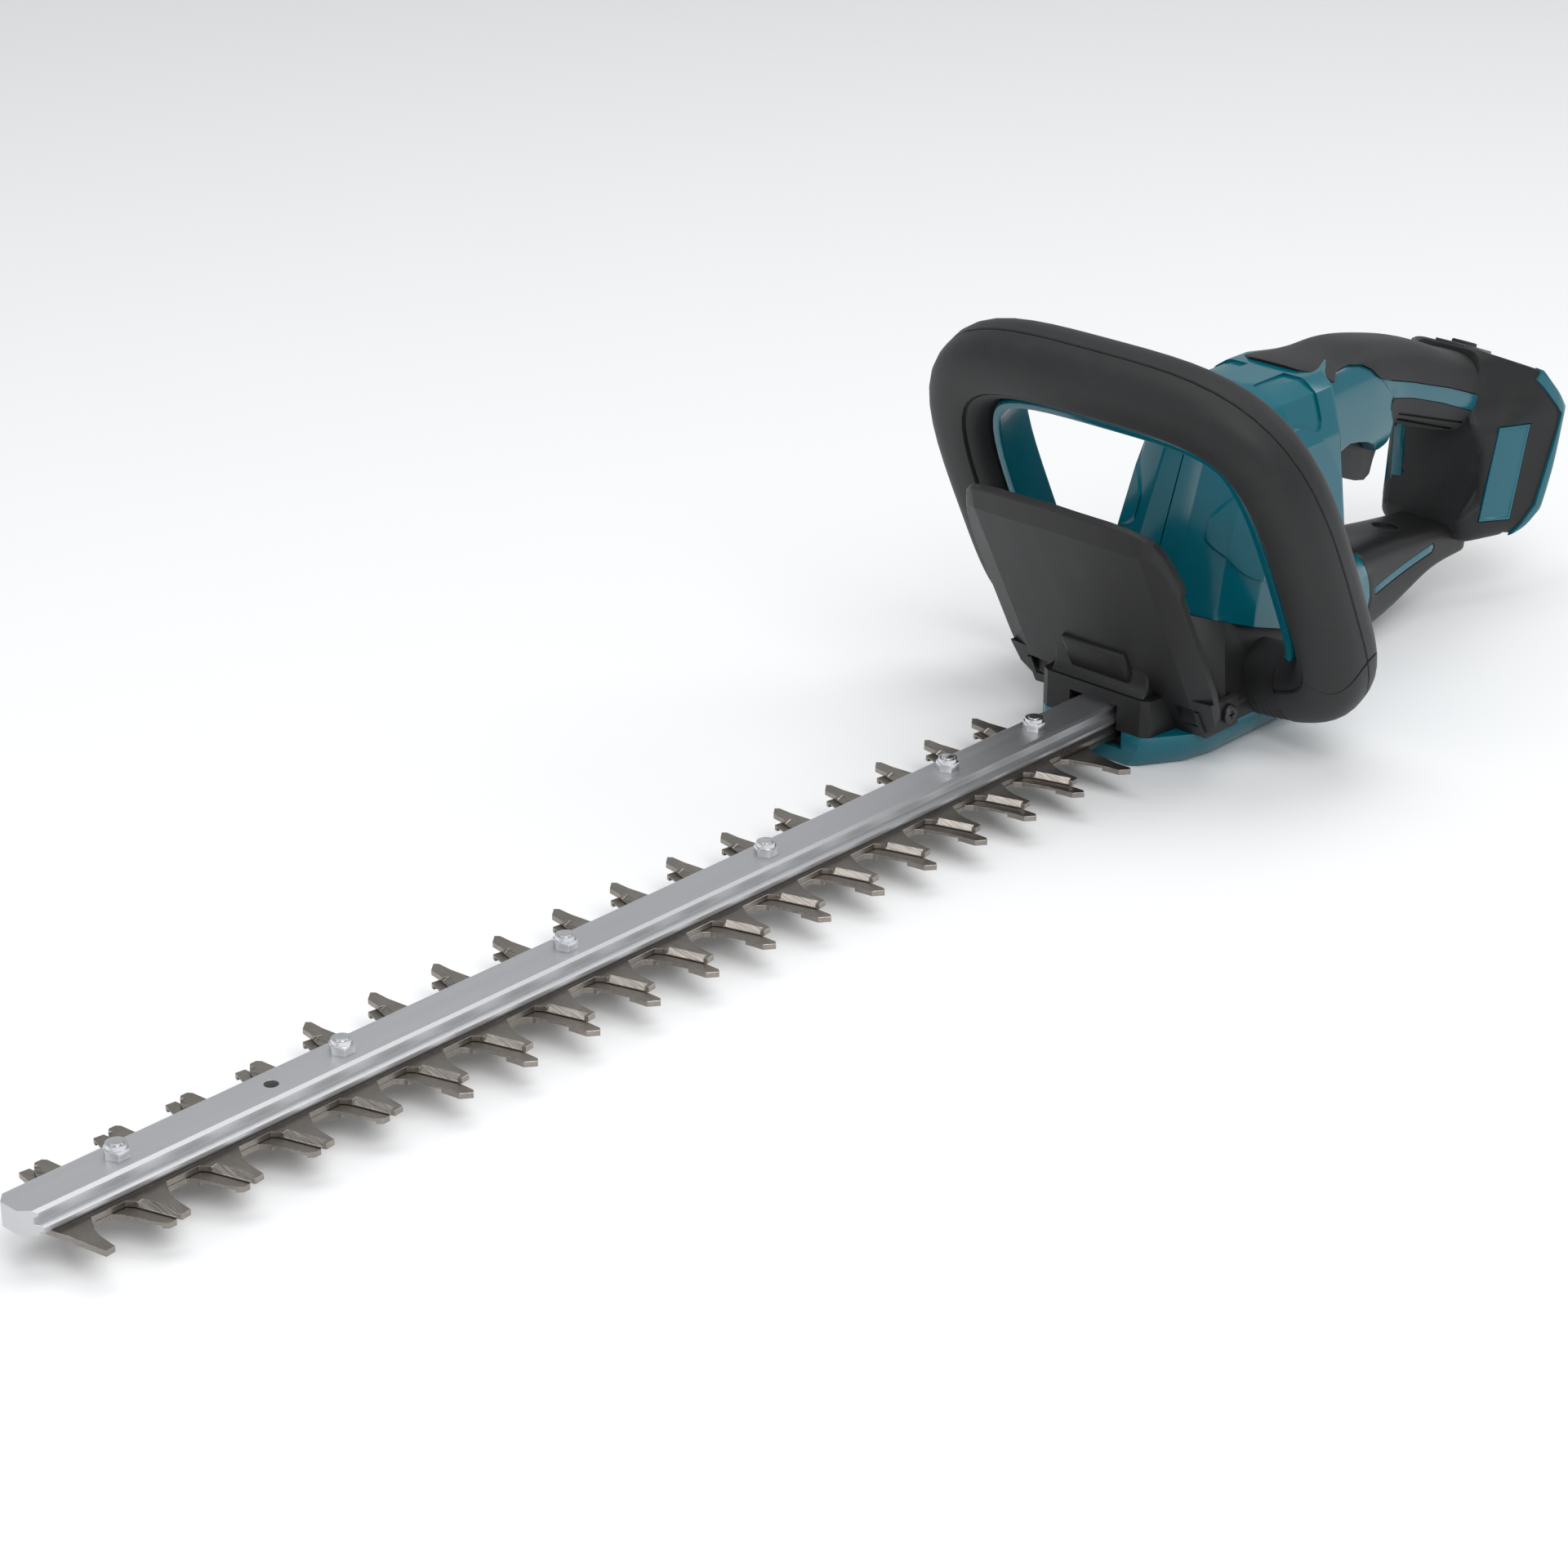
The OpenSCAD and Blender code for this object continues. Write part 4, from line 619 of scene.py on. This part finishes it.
def loopCurve(turn):
    c, s = math.cos(math.radians(turn)), math.sin(math.radians(turn))
    high = loop["up"] if s > 0 else loop["down"]
    return Vector((loop["wide"] * power(c, loop["power"]), loop["middle"] + high * power(s, loop["power"])))


def loopPoint(depth, radial, turn):
    tangent = loopCurve(turn + 0.8) - loopCurve(turn - 0.8)
    tangent.normalize()
    y, up = loopCurve(turn) + Vector((tangent.y, -tangent.x)) * radial
    lean = math.radians(loop["lean"])
    return (loop["foot"][0] + up * math.sin(lean) + depth * math.cos(lean), y,
            loop["foot"][1] + up * math.cos(lean) - depth * math.sin(lean))


def loopTurns(start, end, count=18):
    turns = [start]
    for k in range(-count, 4 * count):
        u = k / count
        whole = math.floor(u)
        part = u - whole
        turn = 90 * (whole + part * part * (3 - 2 * part)) + 0.01
        if start + 0.6 < turn < end - 0.6:
            turns.append(turn)
    return turns + [end]


def gripHalf(side):  # half of the round section, with its seam and a sharp inner lip
    a, b, lip = loop["depth"], loop["radial"], loop["lip"]
    points = [(0.14, -1.0), (0.2, -0.35), (0.75, -0.02)]
    inside = False
    for k in range(2, 31):
        t = math.radians(90 - 180 * k / 31)
        depth, radial = a * abs(math.cos(t)) ** 0.8, b * power(math.sin(t), 0.8) - b
        if radial < lip and not inside:
            inside = True
            points += [(depth + 0.3, lip + 0.2), (depth - 1.2, lip - 0.1), (depth - 1.2, lip - 0.5)]
        points.append((depth - (0.7 if inside else 0.0), radial - (0.5 if inside and radial > lip - 1 else 0.0)))
    points += [(0.75, -2 * b), (0.14, -2 * b + 0.3)]
    return [(side * d, r) for d, r in points]


def nearEnd(distance):  # 1 at a shell's end, 0 once well inside it
    return max(0.0, 1 - distance / loop["fade"])


def swungRing(section, turn, swing):  # swings over the section in an S
    ring = []
    for k, (depth, radial) in enumerate(section):
        share = math.cos(2 * math.pi * k / (len(section) - 1)) * loop["swing"]
        ring.append(loopPoint(depth, radial, turn + share * swing))
    return ring


def coverHalf(name, side):
    section = gripHalf(side)
    start, end = loop["cover"]
    obj = loft(name, [swungRing(section, t, nearEnd(t - start) - nearEnd(end - t)) for t in loopTurns(start, end)])
    smooth(obj, 24)
    return obj


def elbowHalf(name, side):
    section = gripHalf(side)
    start, end = loop["elbow"]
    one = loft(name, [swungRing(section, t, nearEnd(end - t)) for t in loopTurns(start, end - loop["seam"], 26)])
    smooth(one, 24)
    obj = join(name, [one, mirrored(one, name + "Far")])
    smooth(obj, 24)
    return obj


finished(coverHalf("loopFrontCover", 1), "base", "soft_black", "softBlack", "loop_front_shell")
finished(coverHalf("loopRearCover", -1), "base", "hard_black", "softBlack", "loop_rear_shell")
finished(elbowHalf("loopElbowFront", 1), "base", "soft_black", "softBlack")
finished(elbowHalf("loopElbowRear", -1), "base", "hard_black", "softBlack")

# inner core in painted shade, showing as dark shadow in the seams between the grip halves
coreSection = [(d, r - loop["radial"] + 1.3) for d, r in ovalPoints(11.5, 13.6, 20, 0.8)]
loopCore = loft("loopCore", [[loopPoint(d, r, t) for d, r in coreSection] for t in loopTurns(-64, 244, 12)])
smooth(loopCore)
finished(loopCore, "base", "hard_black", "gapPaintedShade")


def ribbedBoot(name):
    start, end = loop["boot"]
    count = 64
    rings = []
    for i in range(count + 1):
        turn = start + (end - start) * i / count
        wave = 0.5 + 0.5 * math.cos(2 * math.pi * i / 8)
        dent = 1.9 * (1 - wave) ** 2
        section = ovalPoints(loop["depth"] - 0.3, loop["radial"] - 0.3, 40, 0.8)
        under = [max(0.0, r / loop["radial"]) ** 0.7 for _, r in section]
        rings.append([loopPoint(d * (1 - 0.06 * dent * u), r - loop["radial"] - dent * u, turn)
                      for (d, r), u in zip(section, under)])
    return loft(name, rings)


boot = ribbedBoot("loopBoots")
bootFar = mirrored(boot, "bootFar")
boots = join("loopBoots", [boot, bootFar])
smooth(boots, 40)
finished(boots, "base", "boot_rubber", "bootRubber", "loop_boots")

leverSection = rounded([(-13, -31.5), (7, -31.5), (7, -35.6), (6.2, -36.0), (-12.2, -36.0), (-13, -35.6)], 2, 0.2)
lever = loft("handLever", [[loopPoint(d, r, t) for d, r in leverSection] for t in loopTurns(*loop["lever"])])
smooth(lever, 24)
finished(lever, "loop_lever", "teal_shell", "teal", "switch_lever")
crispCopy("leverPins", "lever_pins", 0.2)
print("front handle ready")

# motor housing
motor = {"rings": [(34, 22, -96, 39), (58, 16, -93, 38), (74, 10, -88, 36), (118, -6, -84, 33), (136, -13, -86, 26),
                   (141, -38, -88, 19)],
         "joint": [(-61.9, 33.1), (110, 89.8), (110, -60), (-61.9, -60)],
         "flank": [(-1, 96), (2.6, 85), (-8, 71), (-25, 66), (-68, 72), (-70, 98), (-60, 116), (-46, 126), (-28, 126)],
         "crown": [(-61, 150), (-44, 150), (-36, 135), (-43, 123), (-60, 121)]}


def motorSolid(name, grow=0.0):
    rings = []
    for z, front, rear, half in motor["rings"]:
        corners = [(front + grow, 0.3 * half), (front - 9 + grow, 0.78 * half + grow / 2),
                   (front - 26, half + grow), (rear + 14, half + grow), (rear - grow, 0.62 * half)]
        height = z + (grow if z == 141 else 0)
        rings.append([(x, -y, height) for x, y in corners] + [(x, y, height) for x, y in reversed(corners)])
    return loft(name, rings)


motorShell = motorSolid("motorShell")
softenEdges(motorShell, 1.0, 3, 6)
carve(motorShell, region("joint", motor["joint"], -80, 80))
groove = block("groove", (-34, -0.35, 30), (30, 0.35, 150))
carve(groove, motorSolid("inner", -1.2))
carve(motorShell, groove)
crown = region("crown", rounded(motor["crown"], 2, 0.18), -60, 60)
carve(crown, block("middle", (-100, -9, 90), (20, 9, 160)))
carve(crown, motorSolid("inner", -1.1))
carve(motorShell, crown)
smooth(motorShell, 11)
finished(motorShell, "base", "teal_shell", "teal", "left_housing", "right_housing")

flank = region("flankPanels", rounded(motor["flank"], 2, 0.18), -60, 60)
carve(flank, block("middle", (-120, -18, 20), (60, 18, 160)))
carve(flank, motorSolid("skin", 0.9), "INTERSECT")
softenEdges(flank, 0.45, 2, 30)
smooth(flank, 11)
finished(flank, "base", "teal_shell", "teal")
crispCopy("housingScrews", "housing_screws", 0.3)
print("motor housing ready")

# rear handle
upperArm = {"stations": [[-214, 95, 18, 17.5], [-190, 101, 18, 18.5], [-165, 110, 18, 19.5], [-140, 117, 18, 19.5],
                         [-116, 117.5, 20, 23.5], [-95, 115.5, 21, 25.5], [-72, 113, 23, 27.5], [-50, 112, 23, 27.5]],
            "exponent": 0.62, "steps": 5}
topPad = {"stations": [[-214, 95, 18.3, 17.8], [-190, 101, 18.3, 18.8], [-165, 110, 18.3, 19.8],
                       [-140, 117, 18.3, 19.8], [-116, 117.5, 20.3, 23.8], [-95, 115.5, 22.5, 25.9],
                       [-82, 114, 27.5, 27.9], [-72, 113, 31, 29.4], [-60, 112.6, 32, 29.9]],
          "exponent": 0.62, "steps": 5}
topLine = [(-63, 150), (-64.5, 143.5), (-67, 139), (-69.5, 136), (-72.5, 135), (-76.5, 136.2), (-83.4, 138),
           (-97.5, 137.2), (-106, 135.4), (-112, 132.2), (-116, 128.4), (-120.4, 125.8), (-147.9, 117.6),
           (-176.8, 108.1), (-204.5, 97.6)]
underLine = [(-196.5, 92.6), (-171.2, 102.6), (-148.9, 110.2), (-131, 114.8), (-129.2, 112.5), (-130.4, 108.4),
             (-133, 102.7), (-133.3, 98.4)]
lowLine = [(-132.4, 93.5), (-129.5, 91), (-124.6, 91.4), (-119.6, 96.3), (-112, 100), (-104.6, 102), (-96.4, 103.5),
           (-88.6, 101.2), (-77, 100.5), (-52, 97)]
housingArm = {"stations": [[-137, 113, 18, 26], [-128, 113.6, 18.9, 26.4], [-116, 114, 20, 26.6],
                           [-104, 114, 20.7, 26.6], [-92, 114, 21.4, 26.6], [-72, 114, 22.6, 26.6],
                           [-50, 114, 23, 26.6]],
              "exponent": 0.62, "steps": 5}
triggerSlot = ((-139.7, -9.6, 60), (-100, 9.6, 112))

# inner core in painted shade, darkening the trigger slot and the seams of the grip
sleeveCore = armSolid("sleeveCore", housingArm, -1.3)
carve(sleeveCore, region("above", [(x, z + 1.2) for x, z in lowLine] + [(-52, 160), (-134, 160)]), "INTERSECT")
armCore = join("armCore", [armSolid("armCore", {**upperArm, "stations": upperArm["stations"][:4]}, -1.3), sleeveCore])
carve(armCore, block("slot", *triggerSlot))
smooth(armCore)
finished(armCore, "base", "hard_black", "gapPaintedShade")

gripTop = armSolid("gripTop", topPad, 0.0)
aboveLine = [(x, z + 0.25) for x, z in reversed(topLine)]
carve(gripTop, region("above", [(-240, 98)] + aboveLine + [(-63, 170), (-240, 170)]), "INTERSECT")
noseLine = [(-62.5, 0), (-63.6, 7), (-66, 13), (-70, 18.5), (-76, 24), (-92, 40), (-250, 40)]
carve(gripTop, prism("nose", noseLine + [(x, -y) for x, y in noseLine[:0:-1]], 60, 170, "XY"), "INTERSECT")
carve(gripTop, block("buttonWell", (-222, -5, 90), (-206.5, 5, 130)))
softenEdges(gripTop, 0.45, 2, 50)
smooth(gripTop, 30)
finished(gripTop, "base", "soft_black", "softBlack", "left_soft_grip", "right_soft_grip")

sleeve = armSolid("tealTrim", housingArm, -0.15)
upperEdge = [(x, z - 0.25) for x, z in topLine]
lowerEdge = [(x, z + 0.1) for x, z in underLine]
carve(sleeve, region("band", [(-52, 118), (-70, 118), (-74.5, 135.2)] + upperEdge[5:11] + [(-130, 122.6)]
                     + lowerEdge[3:] + lowLine), "INTERSECT")
carve(sleeve, block("slot", *triggerSlot))
strip = armSolid("strip", upperArm, -0.15)
carve(strip, region("band", upperEdge[11:] + lowerEdge[:4]), "INTERSECT")
hollow = prism("wallStrip", [(-200, 78), (-197.3, 78), (-197.3, 48), (-200, 52)], -22.5, -17)
tealTrim = join("tealTrim", [sleeve, strip, hollow])
softenEdges(tealTrim, 0.5, 2, 50)
smooth(tealTrim, 30)
finished(tealTrim, "base", "teal_shell", "teal")

gripUnder = armSolid("gripUnder", upperArm, 0.0)
belowLine = [(x - 0.3, z - 0.35) for x, z in underLine]
carve(gripUnder, region("below", belowLine + [(-133, 92), (-133, 60), (-240, 60), (-240, 92)]), "INTERSECT")
ribs = []
for k in range(5):
    shift = -3.0 * k
    ribs.append(region("rib", [(-138 - k, 106.4 + shift), (-192 + 3 * k, 88.6 + shift), (-192 + 3 * k, 87.3 + shift),
                               (-138 - k, 105.1 + shift)]))
ribs = join("ribs", ribs)
carve(ribs, armSolid("inner", upperArm, -0.9))
carve(gripUnder, ribs)
carve(gripUnder, block("slot", *triggerSlot))
smooth(gripUnder, 30)
finished(gripUnder, "base", "soft_black", "softBlack")

crispCopy("triggerLever", "trigger", 1.6, 4, body="finger_trigger")
crispCopy("triggerPin", "trigger_pin", 0.2)
print("rear handle ready")

# strut
lowerArm = {"stations": [[-204, 30, 15, 8.5], [-178, 30.5, 16, 10.5], [-146, 28, 18, 17.5], [-110, 28, 23, 22],
                         [-84, 31, 31, 25], [-64, 34, 34, 24]], "exponent": 0.45, "steps": 5}
bracketLine = [(-92, 70), (-110, 52), (-114.4, 44.8), (-118.9, 33.4), (-121, 27), (-118, 20), (-106, 6)]
stripLine = [(-124.2, 29.8), (-175.9, 34.9), (-177.2, 33), (-175.3, 31), (-125.7, 26.3)]
recess = {"x": -161, "radius": 6, "floor": 5.9, "hub": 3.0}

# inner core in painted shade, showing as shadow in the seams of the strut
strutCore = armSolid("strutCore", lowerArm, -1.3)
finished(strutCore, "base", "hard_black", "gapPaintedShade")
strut = armSolid("strutCover", lowerArm, 0.0)
carve(strut, region("front", [(x + 0.4, z) for x, z in bracketLine] + [(-40, 6), (-40, 70)]))
carve(strut, region("strip", shrunk(stripLine, -0.35)))
carve(strut, rod("recess", recess["radius"], (recess["x"], 0, 45), 16))
softenEdges(strut, 0.4, 2, 50)
smooth(strut, 30)
finished(strut, "base", "soft_black", "hardBlack", "left_strut_pad", "right_strut_pad")

bracket = armSolid("strutBracket", lowerArm, -0.1)
carve(bracket, region("front", bracketLine + [(-64.6, 6), (-64.6, 70)]), "INTERSECT")
softenEdges(bracket, 0.5, 2, 50)
strip = armSolid("strutStrip", lowerArm, -0.1)
carve(strip, region("band", stripLine), "INTERSECT")
softenEdges(strip, 0.3, 2, 50)
plug = rod("recessFloor", recess["floor"], (recess["x"], 0, 34), 9)
hub = rod("recessHub", recess["hub"], (recess["x"], 0, 34), 12)
bracket = join("strutBracket", [bracket, strip, plug, hub])
smooth(bracket, 30)
finished(bracket, "base", "teal_shell", "teal")
print("strut ready")

# battery seat
seat = {"front": [(31, -194), (42, -189), (50, -197.5), (55, -198), (74, -198), (86, -192), (95, -197), (119, -200)],
        "rear": [(31, -219), (42, -231.5), (88, -243), (108, -226), (118.6, -203)], "round": 7,
        "plan": [(-251, 38), (-236, 38), (-200, 26.5), (-195, 24.4), (-187, 19.5)],
        "band": [(-216, 25), (-218, 34), (-227, 44.5), (-238, 86), (-223, 104), (-226.6, 112), (-260, 112), (-260, 25)],
        "badge": [(-25.2, 85), (-43, 84), (-35.7, 40), (-17.9, 42)], "turn": 17.62,
        "pocket": ((-14, 12, 29), (0, 18, 22)), "rails": (-29.2, 25), "railWide": 4.2}


def inSeat(u, w):
    lean = math.radians(15)
    return (-229 + u * math.cos(lean) - w * math.sin(lean), 47 + u * math.sin(lean) + w * math.cos(lean))


def onFlank(u, out, z, side):  # u along the flank from its front, out of the flank
    turn = math.radians(seat["turn"])
    return (-180 + u * math.cos(turn) + out * math.sin(turn),
            side * (20.2 - u * math.sin(turn) + out * math.cos(turn)), z)


def seatRing(share, inset, grow):  # share 0 at the front wall, 1 at the rear face
    ring = []
    middle, high = 74.8, 43.8 + grow
    for side in (1, -1):
        for k in range(41):
            up = -side * math.cos(math.pi * k / 40)
            z = middle + (high - inset) * up
            front, rear = between(seat["front"], z), between(seat["rear"], z) - grow
            x = front + (rear - front) * share
            wide = min(between(seat["plan"], x), 18.2 + max(0, -201 - x) * 0.66 + max(0, 93 - z) * 0.9) + grow
            left = max(0, seat["round"] - high * (1 - abs(up)))
            wide -= seat["round"] - math.sqrt(seat["round"] ** 2 - left ** 2)
            ring.append((x, side * (wide - inset), z))
    return ring


def seatSolid(name, grow):
    stations = [(0, 3.2), (0.015, 1.6), (0.04, 0.5), (0.09, 0)] + [(k / 10, 0) for k in range(2, 10)]
    stations += [(0.94, 0.3), (0.97, 1.0), (0.99, 2.2), (1, 4)]
    return loft(name, [seatRing(share, inset, grow) for share, inset in stations])


def openPocket(solid):
    for low, deep, wide in seat["pocket"]:
        carve(solid, region("pocket", [inSeat(low, -34), inSeat(deep, -34), inSeat(deep, 46), inSeat(low, 46)],
                            -wide, wide))
    return solid


seatBody = openPocket(seatSolid("batterySeat", 0.0))
rim = openPocket(seatSolid("seatRim", 1.0))
carve(rim, region("band", seat["band"], -70, 70), "INTERSECT")
smooth(rim, 34)
finished(rim, "base", "teal_shell", "teal", "battery_rim")
badges = []
for side in (-1, 1):
    grown = shrunk(seat["badge"], -0.45)
    carve(seatBody, loft("badge", [[onFlank(u, out, z, side) for u, z in grown] for out in (-1.0, 3.0)]))
    inner = shrunk(seat["badge"], 1.1)
    badges.append(loft("badge", [[onFlank(u, out, z, side) for u, z in ring] for out, ring in (
        (-1.0, seat["badge"]), (0.3, seat["badge"]), (0.3, inner), (-0.1, shrunk(seat["badge"], 1.5)))]))
badges = join("badgePlates", badges)
softenEdges(badges, 0.25, 2, 50)
smooth(badges, 20)
finished(badges, "base", "teal_shell", "teal", "badge_plates")
smooth(seatBody, 34)
rails = []
for low in seat["rails"]:
    rails.append(region("rail", [inSeat(0, -8), inSeat(3, -8), inSeat(3, 42), inSeat(0, 42)], low,
                        low + seat["railWide"]))
seatBody = join("batterySeat", [seatBody] + rails)
finished(seatBody, "base", "hard_black", "softBlack", "battery_seat")
crispCopy("buttonPanel", "button_panel", 0.5, 2)
crispCopy("powerButton", "power_button", 0.7, 3, body="start_button")
crispCopy("terminals", "terminal_block", 0.15, 1)
print("battery seat ready")

# light, floor and camera


def lamp(name, place, target, size, strength):
    data = bpy.data.lights.new(name, "AREA")
    data.shape, data.size, data.size_y, data.energy = "RECTANGLE", size[0], size[1], strength
    obj = bpy.data.objects.new(name, data)
    bpy.context.collection.objects.link(obj)
    obj.location = place
    obj.rotation_euler = (Vector(target) - Vector(place)).to_track_quat("-Z", "Y").to_euler()


studio = {"key": ((0.9, 1.3, 1.7), (0.1, 0, 0.05), (1.3, 1.3), 22),  # place, target, size, watts
          "top": ((0.0, -0.2, 2.0), (0.1, 0, 0), (2.0, 1.0), 12),
          "rear": ((-1.5, 0.8, 1.4), (0, 0, 0.1), (1.0, 0.8), 6),
          "front": ((2.0, -0.5, 0.9), (0.1, 0, 0.05), (1.2, 1.0), 5)}
for lampName, (place, target, size, strength) in studio.items():
    lamp(lampName + "Light", place, target, size, strength)

world = bpy.data.worlds.new("paleRoom")
world.use_nodes = True
world.node_tree.nodes["Background"].inputs["Color"].default_value = (0.93, 0.95, 0.97, 1)
world.node_tree.nodes["Background"].inputs["Strength"].default_value = 0.55
bpy.context.scene.world = world

letGo()
bpy.ops.mesh.primitive_plane_add(size=14, location=(0.2, 0, 0))
floor = bpy.context.object
floor.name = floor.data.name = "studioFloor"
settle(floor)
floorShade = Shade("paleFloor", (0.93, 0.932, 0.935), 0.6)
floorShade.set("Roughness", 0.55 + floorShade.noise(floorShade.place(), 9, 3) * 0.1)
floor.data.materials.append(floorShade.material)

cameraData = bpy.data.cameras.new("photoView")
cameraData.lens, cameraData.sensor_width = 85.07, 36
camera = bpy.data.objects.new("photoView", cameraData)
bpy.context.collection.objects.link(camera)
camera.matrix_world = Matrix(((-0.676, -0.304, 0.671, 1.1644), (0.737, -0.285, 0.613, 0.8483),
                              (0.005, 0.909, 0.417, 0.6261), (0, 0, 0, 1)))
bpy.context.scene.camera = camera
bpy.context.scene.view_settings.view_transform = "Standard"
print("studio ready")

letGo()
